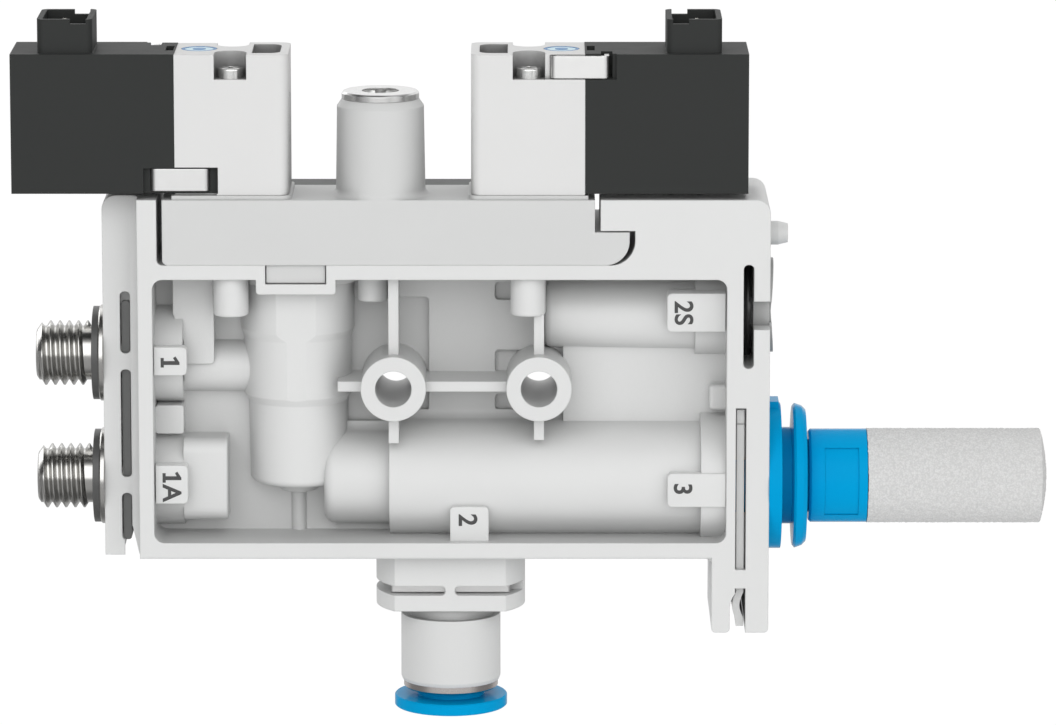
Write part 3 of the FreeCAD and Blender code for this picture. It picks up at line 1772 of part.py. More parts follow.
def silencer_clip():
    """U-shaped plastic clip: two flat legs in the groove and a bowed tail that joins them."""
    left = silencer_clip_left + clip_play
    right = silencer_clip_left + clip_width - 1.5 * clip_play
    inner = cartridge_groove_radius + ring_gap
    outer = rear - silencer_clip_skin - 0.15
    top = silencer_clip_top - silencer_clip_lead
    start, middle, end = silencer_clip_bow_top, silencer_clip_bow_middle, silencer_clip_bow_floor
    bow = silencer_clip_bow
    leg = box(left, right, -outer, -inner, start, top)
    nick_top = silencer_clip_top - 1.75
    leg = leg.cut(box(left, right, -outer, -outer + 0.25, nick_top - 0.2, nick_top))
    upper, lower = (start + middle) / 2, (middle + end) / 2
    low = silencer_clip_floor
    tail = outline_plate(
        [
            [(left, start), (left - bow * 0.7, upper), (left - bow, middle)],
            [(left - bow, middle), (left - bow * 0.7, lower), (left - 0.1, end)],
            [(left - 0.1, end), (left, low)],
            [(left, low), (right, low)],
            [(right, low), (right, end)],
            [(right, end), (right - bow * 0.7, lower), (right - bow, middle)],
            [(right - bow, middle), (right - bow * 0.7, upper), (right, start)],
            [(right, start), (left, start)],
        ],
        -outer,
        outer,
    )
    gap = box(left - 1, right + 1, -inner, inner, middle - 0.4, start)
    return fused([mirrored_in_depth(leg), tail.cut(gap)])


# Vacuum port under the housing
def vacuum_fitting_body():
    """Push-in fitting: grooved spigot in the housing and a round body below it."""
    top = vacuum_socket_top
    neck_floor = flange_floor - vacuum_neck_length
    floor = fitting_floor
    groove_top = boss_floor + running_gap
    groove_floor = flange_top - running_gap
    bore = tube_radius + tube_fit
    socket = vacuum_release_neck + running_gap + vacuum_ring_wall
    seal_top = neck_floor - vacuum_seal_depth
    seal_floor = seal_top - vacuum_seal_land
    ring_top, ring_low, ring_wall = top - 0.5, top - 1.4, 0.7
    points = [
        (top, 2.0),
        (top, vacuum_spigot_radius),
        (ring_top, vacuum_spigot_radius),
        (ring_top, vacuum_spigot_radius - ring_wall),
        (ring_low, vacuum_spigot_radius - ring_wall),
        (ring_low, vacuum_spigot_radius),
        (groove_top, vacuum_spigot_radius),
        (groove_top, vacuum_groove_radius),
        (groove_floor, vacuum_groove_radius),
        (groove_floor, vacuum_spigot_radius),
        (flange_floor, vacuum_spigot_radius),
        (flange_floor, vacuum_neck_radius),
        (neck_floor, vacuum_neck_radius),
        (neck_floor, vacuum_body_radius),
        (floor + chamfer, vacuum_body_radius),
        (floor, vacuum_body_radius - chamfer * 0.4),
        (floor, socket),
        (seal_floor, socket),
        (seal_floor, bore),
        (seal_top, bore),
        (seal_top, 2.0),
    ]
    return turned_z(points, vacuum_x)


def vacuum_tube_seal():
    top = flange_floor - vacuum_neck_length - vacuum_seal_depth - vacuum_seal_land
    outer = vacuum_release_neck + running_gap + vacuum_ring_wall - ring_gap
    return o_ring_z(top - (outer - tube_radius) / 2, tube_radius + ring_gap, outer, vacuum_x)


def vacuum_collet():
    """Toothed steel ring that grips the hose."""
    outer = vacuum_release_neck + running_gap + vacuum_ring_wall - ring_gap
    high = fitting_floor + vacuum_collet_height
    low = high - collet_length
    bore = tube_radius + tube_fit
    ring = turned_z([(high, bore + 0.5), (high, outer), (low, outer), (low, bore)], vacuum_x)
    slots = [
        box(0, outer + 1, -0.15, 0.15, low - 0.1, high - 0.3)
        .rotate(V(0, 0, 0), V(0, 0, 1), 45 * step)
        .translate(V(vacuum_x, 0, 0))
        for step in range(8)
    ]
    return ring.cut(slots)


def vacuum_fitting_ring():
    """Turned metal ring pressed into the mouth of the fitting, which guides the release ring."""
    floor = fitting_floor
    low = floor - vacuum_ring_thickness
    top = floor + vacuum_ring_reach
    inner = vacuum_release_neck + running_gap
    outer = inner + vacuum_ring_wall - ring_gap
    points = [
        (top, inner),
        (top, outer),
        (floor, outer),
        (floor, vacuum_ring_radius),
        (low + 0.2, vacuum_ring_radius),
        (low, vacuum_ring_radius - 0.2),
        (low, inner),
    ]
    return turned_z(points, vacuum_x)


def vacuum_release_ring():
    """Blue ring that is pushed up to free the hose."""
    low = fitting_floor - vacuum_ring_thickness
    collet_low = fitting_floor + vacuum_collet_height - collet_length
    top = collet_low - vacuum_release_travel - running_gap
    face = low - vacuum_release_travel - vacuum_release_gap
    floor = face - vacuum_release_thickness
    bore = tube_radius + tube_fit
    bevel = 0.12
    lead = 0.3
    points = [
        (top, bore),
        (top, vacuum_release_neck),
        (face, vacuum_release_neck),
        (face, vacuum_release_radius - bevel),
        (face - bevel, vacuum_release_radius),
        (floor + bevel, vacuum_release_radius),
        (floor, vacuum_release_radius - bevel),
        (floor, bore + lead),
        (floor + lead, bore),
    ]
    return turned_z(points, vacuum_x)


def vacuum_fitting_o_ring():
    ring_wall = 0.7
    centre = vacuum_socket_top - 0.95
    inner = vacuum_spigot_radius - ring_wall + ring_gap
    return o_ring_z(centre, inner, vacuum_spigot_radius + ring_gap, vacuum_x)


def vacuum_clip():
    """Spring strip bent to a U: its legs pass the fitting's groove, its bend lies at the left."""
    inner = vacuum_groove_radius + ring_gap
    outer = inner + vacuum_clip_thickness
    floor, top = flange_top + 0.1, boss_floor - 0.1
    left = vacuum_x - vacuum_clip_reach
    right = vacuum_x + vacuum_clip_reach
    strip = rounded_box(left, right, -outer, outer, floor, top, small_fillet, V(0, 0, 1))
    hollow = box(left + vacuum_clip_thickness, right, -inner, inner, floor, top)
    return strip.cut(hollow)


def check_valve():
    """Loose disc that lifts from the fitting's seat when air is drawn in."""
    low = vacuum_socket_top
    top = low + check_disc_thickness
    disc = cylinder_z(low, top, check_disc_radius, vacuum_x)
    return disc.cut(cylinder_z(top - 0.25, top, check_disc_radius / 2, vacuum_x))


# Ejector nozzles and main valve
def jet_nozzle():
    """Laval jet: a fine throat that opens towards the receiver."""
    left = small_tube_left + jet_inset
    flange = jet_bore_radius - ring_gap
    groove_left = left + nozzle_flange
    groove_right = groove_left + nozzle_groove_width
    body_end = groove_right + nozzle_groove_width
    tip = vacuum_x - 2.0
    throat = 0.35
    points = [
        (left, 1.2),
        (left, flange),
        (groove_left, flange),
        (groove_left, flange - nozzle_groove),
        (groove_right, flange - nozzle_groove),
        (groove_right, flange),
        (body_end, flange),
        (body_end + 2.0, 1.6),
        (tip, 1.2),
        (tip, 0.6),
        (tip - 2.6, throat),
        (left + 5.0, throat),
        (left + 3.0, 1.2),
    ]
    return turned_x(points, 0, ejector_height)


def receiver_nozzle():
    """Receiver tube: a bell mouth, a straight throat and a long diffuser."""
    left = vacuum_x + receiver_offset
    end = cartridge_left - 0.4
    outer = ejector_bore_radius - ring_gap
    groove_left = left + 2 * nozzle_flange
    groove_right = groove_left + nozzle_groove_width
    throat = 0.9
    points = [
        (left, 1.9),
        (left, outer - 0.6),
        (left + 0.6, outer),
        (groove_left, outer),
        (groove_left, outer - nozzle_groove),
        (groove_right, outer - nozzle_groove),
        (groove_right, outer),
        (end, outer),
        (end, 1.9),
        (left + 9.0, throat),
        (left + 4.0, throat),
    ]
    return turned_x(points, 0, ejector_height)


def nozzle_o_rings():
    """Sealing rings in the grooves of the jet and the receiver."""
    half_groove = nozzle_groove_width / 2
    rows = (
        (small_tube_left + jet_inset + nozzle_flange, jet_bore_radius),
        (vacuum_x + receiver_offset + 2 * nozzle_flange, ejector_bore_radius),
    )
    rings = []
    for groove_left, bore in rows:
        outer = bore - ring_gap
        rings.append(
            o_ring_x(groove_left + half_groove, outer - nozzle_groove + ring_gap, outer, 0, ejector_height)
        )
    return Part.makeCompound(rings)


def main_valve_piston():
    """Piston with a seal groove and a hollow skirt over the return spring."""
    radius = piston_bore_radius - running_gap
    floor = piston_top - piston_height
    ring_z = piston_top - piston_ring_depth
    half = piston_groove_width / 2
    points = [
        (piston_top, 0),
        (piston_top, radius - 0.3),
        (piston_top - 0.3, radius),
        (ring_z + half, radius),
        (ring_z + half, radius - piston_groove),
        (ring_z - half, radius - piston_groove),
        (ring_z - half, radius),
        (floor, radius),
        (floor, radius - piston_skirt),
        (floor + piston_pocket, radius - piston_skirt),
        (floor + piston_pocket, 0),
    ]
    return turned_z(points, valve_tube_x)


def piston_seal():
    radius = piston_bore_radius - running_gap
    inner = radius - piston_groove + ring_gap
    return o_ring_z(piston_top - piston_ring_depth, inner, radius, valve_tube_x)


def main_valve_spring():
    floor = valve_tube_floor + valve_tube_floor_wall
    top = piston_top - piston_height + piston_pocket
    wire = main_spring_wire
    base = V(valve_tube_x, 0, floor + wire / 2)
    return coil_spring(
        main_spring_radius, wire, top - floor - wire, main_spring_turns, base, V(0, 0, 1)
    )


def named_pieces():
    pieces = {
        "housing": housing(),
        "valve_carrier": valve_carrier(),
        "rear_cover_strip": rear_cover_strip(),
        "flow_collar": flow_collar(),
        "flow_screw": flow_screw(),
        "flow_screw_seal": flow_screw_seal(),
        "port_1_fitting": port_fitting(port_1_height),
        "port_1_washer": port_washer(port_1_height),
        "port_1_o_ring": port_o_ring(port_1_height),
        "port_1a_fitting": port_fitting(ejector_height),
        "port_1a_washer": port_washer(ejector_height),
        "port_1a_o_ring": port_o_ring(ejector_height),
        "supply_clip": supply_clip(),
        "sensor_plug": sensor_plug(),
        "sensor_plug_o_ring": sensor_plug_o_ring(),
        "silencer_cartridge": silencer_cartridge(),
        "silencer_tube_seal": silencer_tube_seal(),
        "silencer_collet": silencer_collet(),
        "silencer_release_ring": silencer_release_ring(),
        "silencer_sleeve": silencer_sleeve(),
        "silencer_element": silencer_element(),
        "silencer_clip": silencer_clip(),
        "vacuum_fitting_body": vacuum_fitting_body(),
        "vacuum_fitting_o_ring": vacuum_fitting_o_ring(),
        "vacuum_tube_seal": vacuum_tube_seal(),
        "vacuum_collet": vacuum_collet(),
        "vacuum_fitting_ring": vacuum_fitting_ring(),
        "vacuum_release_ring": vacuum_release_ring(),
        "vacuum_clip": vacuum_clip(),
        "check_valve": check_valve(),
        "jet_nozzle": jet_nozzle(),
        "receiver_nozzle": receiver_nozzle(),
        "nozzle_o_rings": nozzle_o_rings(),
        "main_valve_piston": main_valve_piston(),
        "piston_seal": piston_seal(),
        "main_valve_spring": main_valve_spring(),
    }
    valve_pieces = {
        "coil_housing": coil_housing(),
        "coil_winding": coil_winding(),
        "armature": armature(),
        "armature_spring": armature_spring(),
        "connector_pins": connector_pins(),
        "valve_body": valve_body(),
        "override_button": override_button(),
        "valve_screws": valve_screws(),
        "lower_staple": staple(-1, True),
        "upper_staple": staple(1, False),
        "valve_gasket": valve_gasket(),
    }
    for side, (origin_x, turn) in zip(("left", "right"), valve_places()):
        for name, shape in valve_pieces.items():
            pieces[f"{side}_{name}"] = placed_valve(shape, origin_x, turn)
    return pieces


for name, shape in named_pieces().items():
    shape.exportStep(f"parts/{name}.step")
    print(name, len(shape.Solids), round(shape.Volume, 2), shape.isValid())
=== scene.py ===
import math

import bmesh
import bpy
from mathutils import Matrix, Vector


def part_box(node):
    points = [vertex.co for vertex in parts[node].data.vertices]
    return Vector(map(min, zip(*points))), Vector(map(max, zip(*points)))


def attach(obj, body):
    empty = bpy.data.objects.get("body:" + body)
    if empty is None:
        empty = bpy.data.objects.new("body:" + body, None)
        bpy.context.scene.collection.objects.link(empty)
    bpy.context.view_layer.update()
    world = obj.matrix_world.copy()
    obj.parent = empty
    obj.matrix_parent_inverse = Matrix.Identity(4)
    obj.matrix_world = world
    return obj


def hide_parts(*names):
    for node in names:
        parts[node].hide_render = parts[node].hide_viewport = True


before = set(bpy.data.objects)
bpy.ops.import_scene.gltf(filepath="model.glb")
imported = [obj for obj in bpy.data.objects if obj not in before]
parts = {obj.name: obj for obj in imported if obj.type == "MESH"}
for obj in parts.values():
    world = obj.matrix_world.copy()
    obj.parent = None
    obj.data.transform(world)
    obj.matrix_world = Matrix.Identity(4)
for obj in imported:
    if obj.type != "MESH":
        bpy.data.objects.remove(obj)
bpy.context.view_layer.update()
MM = 0.001

# Housing
# One injection moulding in light grey reinforced polyamide, eggshell-smooth from a fine eroded tool,
# with small radii on every edge. It carries all the other pieces.
HOUSING_GREY = (0.79, 0.795, 0.79)
HOUSING_EDGE = 0.2 * MM
# Painted shade in hollows: the reach of the ambient occlusion, the darkest tone as a share of the
# colour, and the openness over which it fades out.
PAINTED_SHADE_REACH = 12.0 * MM
PAINTED_HOLLOW_SHADE = 0.74
PAINTED_SHADE_RANGE = (0.35, 0.95)
LOW_ANGLES = (0.66, 1.0)
CLOUD_SIZE = 9.0 * MM
CLOUD_TONES = (0.975, 1.015)
PATCH_SIZE = 2.5 * MM
ROUGHNESS_SWING = 0.05
EROSION_SIZE = 0.10 * MM
EROSION_DEPTH = 0.004 * MM
SHADER_SAMPLES = 6
# Colour sockets of a Mix node
MIX_FIRST = 6
MIX_SECOND = 7
MIX_RESULT = 2


class Value:
    """A number socket that Python operators turn into Math nodes."""

    def __init__(self, tree, socket):
        self.tree = tree
        self.socket = socket

    def maths(self, operation, first, second=None):
        inputs = [first] if second is None else [first, second]
        return self.tree.add("ShaderNodeMath", {"operation": operation}, dict(enumerate(inputs)))

    def __add__(self, other):
        return self.maths("ADD", self, other)

    __radd__ = __add__

    def __sub__(self, other):
        return self.maths("SUBTRACT", self, other)

    def __rsub__(self, other):
        return self.maths("SUBTRACT", other, self)

    def __mul__(self, other):
        return self.maths("MULTIPLY", self, other)

    __rmul__ = __mul__

    def size(self):
        return self.maths("ABSOLUTE", self)

    def rising(self, start, end, low=0.0, high=1.0):
        """Goes smoothly from low to high while the value goes from start to end."""
        inputs = {"Value": self, "From Min": start, "From Max": end, "To Min": low, "To Max": high}
        return self.tree.add(
            "ShaderNodeMapRange", {"interpolation_type": "SMOOTHSTEP"}, inputs, "Result"
        )


class Tree:
    """A node tree whose nodes are added by their type, settings and inputs."""

    def __init__(self, node_tree):
        self.nodes = node_tree.nodes
        self.links = node_tree.links

    def add(self, kind, settings=None, inputs=None, output=0):
        """One node of a type: its settings first, then the values or links of its sockets."""
        node = self.nodes.new(kind)
        for key, setting in (settings or {}).items():
            setattr(node, key, setting)
        for key, entry in (inputs or {}).items():
            if isinstance(entry, Value):
                self.links.new(entry.socket, node.inputs[key])
            else:
                node.inputs[key].default_value = entry
        return Value(self, node.outputs[output])

    def axes(self, vector):
        """The three coordinates of a vector."""
        split = self.add("ShaderNodeSeparateXYZ", None, {0: vector}).socket.node
        return [Value(self, split.outputs[axis]) for axis in "XYZ"]


class Finish(Tree):
    """A material with one Principled shader that is read in Object coordinates, in metres."""

    def __init__(self, name, colour, roughness, **plain):
        self.material = bpy.data.materials.new(name)
        self.material.use_nodes = True
        super().__init__(self.material.node_tree)
        self.shader = self.nodes["Principled BSDF"]
        self.material.diffuse_color = (*colour, 1.0)
        self.shader.inputs["Base Color"].default_value = (*colour, 1.0)
        self.shader.inputs["Roughness"].default_value = roughness
        for socket, number in plain.items():
            self.shader.inputs[socket.replace("_", " ")].default_value = number

    def link(self, value, socket):
        self.links.new(value.socket, self.shader.inputs[socket])

    def place(self):
        return self.add("ShaderNodeTexCoord", output="Object")

    def noise(self, size, detail=2.0, where=None):
        """Soft noise from 0 to 1 whose spots are about size metres across."""
        vector = where or self.place()
        return self.add(
            "ShaderNodeTexNoise", None, {"Vector": vector, "Scale": 1.0 / size, "Detail": detail}
        )

    def blend(self, factor, first, second):
        """Mixes two colours, each a tuple or a colour socket."""
        mix = self.nodes.new("ShaderNodeMix")
        mix.data_type = "RGBA"
        for index, entry in ((MIX_FIRST, first), (MIX_SECOND, second)):
            if isinstance(entry, Value):
                self.links.new(entry.socket, mix.inputs[index])
            else:
                mix.inputs[index].default_value = (*entry, 1.0)
        self.links.new(factor.socket, mix.inputs[0])
        return Value(self, mix.outputs[MIX_RESULT])

    def openness(self, reach):
        """From 0 in a deep corner to 1 where nothing stands within reach."""
        return self.add(
            "ShaderNodeAmbientOcclusion", {"samples": SHADER_SAMPLES}, {"Distance": reach}, "AO"
        )

    def vary_roughness(self, pattern, roughness):
        """Swings the roughness a little up and down with a pattern from 0 to 1."""
        low = roughness - ROUGHNESS_SWING
        self.link(pattern * (2 * ROUGHNESS_SWING) + low, "Roughness")

    def relief(self, height, depth, edge=0.0):
        """Bump of a depth in metres, over edges softened by a bevel radius."""
        inputs = {"Height": height, "Distance": depth, "Strength": 1.0}
        if edge:
            soft = self.add("ShaderNodeBevel", {"samples": SHADER_SAMPLES}, {"Radius": edge})
            inputs["Normal"] = soft
        self.link(self.add("ShaderNodeBump", None, inputs), "Normal")


def shaded(colour, amount):
    """A colour made lighter or darker."""
    return tuple(channel * amount for channel in colour)


def moulded(
    name,
    colour,
    roughness=0.42,
    edge=HOUSING_EDGE,
    grain=EROSION_DEPTH,
    level=0.35,
    painted_shade=1.0,
    gloss=None,
):
    """Moulded plastic: faint flow clouds, a fine eroded grain, soft edges and painted shade in its
    hollows.

    Level is the specular level, painted_shade the tone of the painted shade in a deep corner, and
    gloss the roughness of a clear shine that shows only at a low angle.
    """
    finish = Finish(name, colour, roughness, Specular_IOR_Level=level)
    clouds = finish.noise(CLOUD_SIZE, detail=3.0)
    tone = finish.blend(clouds, *(shaded(colour, amount) for amount in CLOUD_TONES))
    # Painted shade: ambient occlusion darkens the colour in corners and recesses, down to the given
    # tone.
    if painted_shade < 1.0:
        openness = finish.openness(PAINTED_SHADE_REACH).rising(*PAINTED_SHADE_RANGE)
        tone = finish.blend(openness, shaded(colour, painted_shade), tone)
    finish.link(tone, "Base Color")
    finish.vary_roughness(finish.noise(PATCH_SIZE), roughness)
    finish.relief(finish.noise(EROSION_SIZE, detail=3.0), grain, edge)
    if gloss is not None:
        facing = finish.add("ShaderNodeLayerWeight", None, {"Blend": 0.5}, "Facing")
        finish.link(facing.rising(*LOW_ANGLES), "Coat Weight")
        finish.shader.inputs["Coat Roughness"].default_value = gloss
    return finish.material


def dress(material, *names):
    """Gives CAD nodes a finish in place of their plain one."""
    for name in names:
        for slot in parts[name].material_slots:
            slot.material = material


# The housing's grey carries painted shade: it darkens in the pocket, corners and recesses.
housing_plastic = moulded("Housing light grey polyamide", HOUSING_GREY, painted_shade=PAINTED_HOLLOW_SHADE)
dress(housing_plastic, "housing")

# Port numbers
# Small raised plates moulded into the pocket beside each port, each with its number printed on it in
# dark grey, turned to be read from the right.
PLATE_CORNER = 0.5 * MM
PLATE_EDGE = 0.08 * MM
PLATE_GREY = (0.80, 0.805, 0.80)
NUMBER_GREY = (0.085, 0.085, 0.085)
NUMBER_HEIGHT = 2.02 * MM
NUMBER_THICKNESS = 0.03 * MM
NUMBER_BOLDNESS = 0.020
NUMBER_GAP = 0.13 * MM
NUMBER_WELD = 1e-7
# Corners of the figure 1, with its flag and foot, in mm
ONE_OUTLINE = (
    (0.0, 0.0), (1.04, 0.0), (1.04, 0.34), (0.76, 0.34), (0.76, 2.03), (0.49, 2.03),
    (-0.17, 1.60), (0.0, 1.35), (0.34, 1.53), (0.34, 0.34), (0.0, 0.34),
)
READ_DOWNWARDS = Matrix(((0, 1, 0), (0, 0, -1), (-1, 0, 0))).to_4x4()
# Number, low and high X, low and high Z, front and back Y and the number's middle (X, Z) in mm, and
# the side of the plate whose corners are round
PORT_PLATES = (
    ("1", (-33.47, -29.97), (1.28, 4.34), (-6.5, -4.9), (-31.73, 2.76), "right"),
    ("1A", (-33.41, -29.95), (-12.76, -8.58), (-6.5, -4.6), (-31.65, -10.91), "right"),
    ("2S", (21.55, 27.8), (5.85, 10.01), (-5.5, -2.0), (23.34, 7.91), "left"),
    ("3", (21.6, 27.86), (-12.94, -9.29), (-7.42, -6.0), (23.27, -10.94), "left"),
    ("2", (-1.77, 2.38), (-16.95, -13.13), (-6.5, -2.0), (0.17, -14.54), "top"),
)


def deselect():
    """Clears the selection, because an operator acts on all that is selected."""
    bpy.ops.object.select_all(action="DESELECT")


def begin(name):
    """Names the piece that was just added, puts its place into its mesh and opens it for editing."""
    piece = bpy.context.object
    piece.name = name
    piece.data.name = name
    bpy.ops.object.transform_apply(location=True, rotation=True, scale=True)
    bpy.ops.object.mode_set(mode="EDIT")
    return piece


def finished(piece, material, angle=35.0):
    """Leaves editing, shades the piece smooth up to an angle and gives it its material."""
    bpy.ops.object.mode_set(mode="OBJECT")
    piece.data.materials.clear()
    piece.data.materials.append(material)
    bpy.ops.object.shade_smooth_by_angle(angle=math.radians(angle))
    return piece


def pick_edges(piece, test):
    """Selects the edges of a piece in edit mode that pass a test."""
    bpy.ops.mesh.select_all(action="DESELECT")
    bpy.ops.mesh.select_mode(type="EDGE")
    mesh = bmesh.from_edit_mesh(piece.data)
    for edge in mesh.edges:
        if test(edge):
            edge.select_set(True)
    mesh.select_flush_mode()
    bmesh.update_edit_mesh(piece.data)


def middle(edge):
    return (edge.verts[0].co + edge.verts[1].co) / 2


def plate(name, across, upright, depth, round_side):
    """Plate with two round corners on one side and a soft front edge, from its limits in mm."""
    deselect()
    low = Vector((across[0], depth[0], upright[0])) * MM
    high = Vector((across[1], depth[1], upright[1])) * MM
    centre = (low + high) / 2
    bpy.ops.mesh.primitive_cube_add(size=1.0, location=centre, scale=high - low)
    piece = begin(name)

    def on_round_side(edge):
        spot = middle(edge)
        along = edge.verts[0].co - edge.verts[1].co
        if abs(along.y) < (high - low).y / 2:
            return False
        sides = {"right": spot.x > centre.x, "left": spot.x < centre.x, "top": spot.z > centre.z}
        return sides[round_side]

    pick_edges(piece, on_round_side)
    bpy.ops.mesh.bevel(offset=PLATE_CORNER, segments=6, affect="EDGES")
    pick_edges(piece, lambda edge: middle(edge).y < low.y + PLATE_EDGE / 2)
    bpy.ops.mesh.bevel(offset=PLATE_EDGE, segments=3, affect="EDGES")
    return finished(piece, plate_plastic)


def limits(mesh):
    """Lowest and highest corners of a mesh."""
    corners = [vertex.co for vertex in mesh.vertices]
    low = Vector([min(corner[axis] for corner in corners) for axis in range(3)])
    high = Vector([max(corner[axis] for corner in corners) for axis in range(3)])
    return low, high


def flat_figure(character):
    """One figure or letter as flat faces, upright in XY, at the height of the printed numbers."""
    deselect()
    if character == "1":
        bpy.ops.mesh.primitive_circle_add(vertices=len(ONE_OUTLINE), fill_type="NGON")
        figure = bpy.context.object
        for vertex, (across, up) in zip(figure.data.vertices, ONE_OUTLINE):
            vertex.co = Vector((across, up, 0.0))
    else:
        bpy.ops.object.text_add()
        figure = bpy.context.object
        figure.data.body = character
        figure.data.offset = NUMBER_BOLDNESS
        bpy.ops.object.convert(target="MESH")
    low, high = limits(figure.data)
    size = NUMBER_HEIGHT / (high.y - low.y)
    figure.data.transform(Matrix.Scale(size, 4) @ Matrix.Translation(-low))
    return figure


def number(name, text, place, front):
    """A printed number, half sunk in the front of a plate and turned to be read downwards."""
    figures = []
    reach = 0.0
    for character in text:
        figure = flat_figure(character)
        figure.data.transform(Matrix.Translation((reach, 0.0, 0.0)))
        reach = limits(figure.data)[1].x + NUMBER_GAP
        figures.append(figure)
    deselect()
    for figure in figures:
        figure.select_set(True)
    if len(figures) > 1:
        bpy.ops.object.join()
    piece = begin(name)
    bpy.ops.mesh.select_all(action="SELECT")
    bpy.ops.mesh.extrude_region_move(
        TRANSFORM_OT_translate={"value": (0.0, 0.0, 2 * NUMBER_THICKNESS)}
    )
    bpy.ops.mesh.select_all(action="SELECT")
    bpy.ops.mesh.remove_doubles(threshold=NUMBER_WELD)
    bpy.ops.mesh.normals_make_consistent(inside=False)
    bpy.ops.object.mode_set(mode="OBJECT")
    low, high = limits(piece.data)
    spot = Matrix.Translation((place[0] * MM, front * MM, place[1] * MM))
    piece.data.transform(spot @ READ_DOWNWARDS @ Matrix.Translation(-(low + high) / 2))
    return finished(piece, number_ink, angle=20.0)


plate_plastic = moulded("Port plate light grey", PLATE_GREY, edge=0.0)
number_ink = moulded(
    "Port number dark grey", NUMBER_GREY, roughness=0.5, edge=0.0, grain=0.002 * MM, level=0.2
)
for text, across, upright, depth, place, round_side in PORT_PLATES:
    tag = text.lower()
    port_plate = plate(f"port_{tag}_plate", across, upright, depth, round_side)
    port_number = number(f"port_{tag}_number", text, place, depth[0])
    for piece, slot in ((port_plate, "housing_plastic"), (port_number, "black_plastic")):
        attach(piece, "ejector")

# Valve carrier and cover strip
# The carrier is moulded in a slightly darker grey and snaps into the top of the housing. A dark strip
# covers its rear edge.
CARRIER_GREY = (0.70, 0.705, 0.70)
STRIP_BLACK = (0.085, 0.09, 0.088)

# The carrier's grey carries painted shade in its corners and recesses.
carrier_plastic = moulded("Carrier grey polyamide", CARRIER_GREY, edge=0.22 * MM, painted_shade=0.7)
cover_plastic = moulded("Cover strip dark grey", STRIP_BLACK, roughness=0.5)
dress(carrier_plastic, "valve_carrier", "receiver_nozzle", "main_valve_piston")
dress(cover_plastic, "rear_cover_strip")

# Solenoid valves
# Two bought-in valves. The coil is overmoulded in dark grey, the body is off-white, and bent bright
# staples hold them together. The blue override button has a pale ring printed round its eye.
COIL_GREY = (0.040, 0.042, 0.041)
BODY_WHITE = (0.79, 0.79, 0.785)
OVERRIDE_BLUE = (0.002, 0.20, 0.52)
RING_BLUE = (0.62, 0.86, 0.97)
STAPLE_STEEL = (0.74, 0.74, 0.735)
SCREW_STEEL = (0.80, 0.80, 0.79)
PIN_TIN = (0.80, 0.78, 0.72)
WIRE_COPPER = (0.72, 0.34, 0.18)
RUBBER_BLACK = (0.014, 0.014, 0.014)
MARK_SIZE = 0.15 * MM
METAL_CLOUD_SIZE = 1.5 * MM
METAL_TONES = (0.96, 1.02)
RING_OUTER = 1.54 * MM
RING_INNER = 0.73 * MM
RING_THICKNESS = 0.09 * MM
RING_SINK = 0.03 * MM
RING_STEPS = 64
SIDES = ("left", "right")

coil_plastic = moulded(
    "Coil dark grey", COIL_GREY, roughness=0.48, edge=0.12 * MM, grain=0.003 * MM, level=0.08
)
# The valve body's off-white carries strong painted shade in its corners and recesses.
body_plastic = moulded(
    "Valve body off-white", BODY_WHITE, roughness=0.4, edge=0.15 * MM, painted_shade=0.3
)


def metal(name, colour, roughness, streak=(1.0, 1.0, 1.0), edge=0.05 * MM, mark=0.0006 * MM):
    """Metal with fine marks that run along the axis whose streak value is small."""
    finish = Finish(name, colour, roughness, Metallic=1.0)
    stretched = finish.add(
        "ShaderNodeMapping", None, {"Vector": finish.place(), "Scale": streak}
    )
    marks = finish.noise(MARK_SIZE, detail=3.0, where=stretched)
    finish.vary_roughness(marks, roughness)
    clouds = finish.noise(METAL_CLOUD_SIZE)
    tone = finish.blend(clouds, *(shaded(colour, amount) for amount in METAL_TONES))
    finish.link(tone, "Base Color")
    finish.relief(marks, mark, edge)
    return finish.material


bright_steel = metal(
    "Bright bent strip", STAPLE_STEEL, roughness=0.36, streak=(1.0, 1.0, 0.15), edge=0.12 * MM
)
screw_steel = metal("Screw steel", SCREW_STEEL, roughness=0.20, streak=(1.0, 1.0, 0.4))
pin_metal = metal("Tinned pin", PIN_TIN, roughness=0.25)
copper = metal("Enamelled copper wire", WIRE_COPPER, roughness=0.3, streak=(6.0, 1.0, 1.0))
rubber = moulded(
    "Black seal rubber", RUBBER_BLACK, roughness=0.25, edge=0.03 * MM, grain=0.001 * MM, level=0.5
)
override_blue = moulded(
    "Override blue", OVERRIDE_BLUE, roughness=0.3, edge=0.05 * MM, level=0.3
)
override_print = moulded(
    "Override pale ring", RING_BLUE, roughness=0.3, edge=0.0, grain=0.001 * MM, level=0.3
)


def override_ring(side):
    """Flat pale ring in the recess of a button, a circle extruded inwards and then given depth."""
    low, high = (Vector(corner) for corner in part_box(f"{side}_override_button"))
    deselect()
    spot = ((low.x + high.x) / 2, (low.y + high.y) / 2, high.z - RING_SINK - RING_THICKNESS)
    bpy.ops.mesh.primitive_circle_add(vertices=RING_STEPS, radius=RING_OUTER, location=spot)
    ring = begin(f"{side}_override_ring")
    bpy.ops.mesh.select_all(action="SELECT")
    bpy.ops.mesh.extrude_region_move()
    share = RING_INNER / RING_OUTER
    bpy.ops.transform.resize(value=(share, share, 1.0), center_override=spot)
    bpy.ops.mesh.select_all(action="SELECT")
    bpy.ops.mesh.extrude_region_move(TRANSFORM_OT_translate={"value": (0, 0, RING_THICKNESS)})
    bpy.ops.mesh.select_all(action="SELECT")
    bpy.ops.mesh.normals_make_consistent(inside=False)
    finished(ring, override_print)
    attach(ring, f"{side}_override")


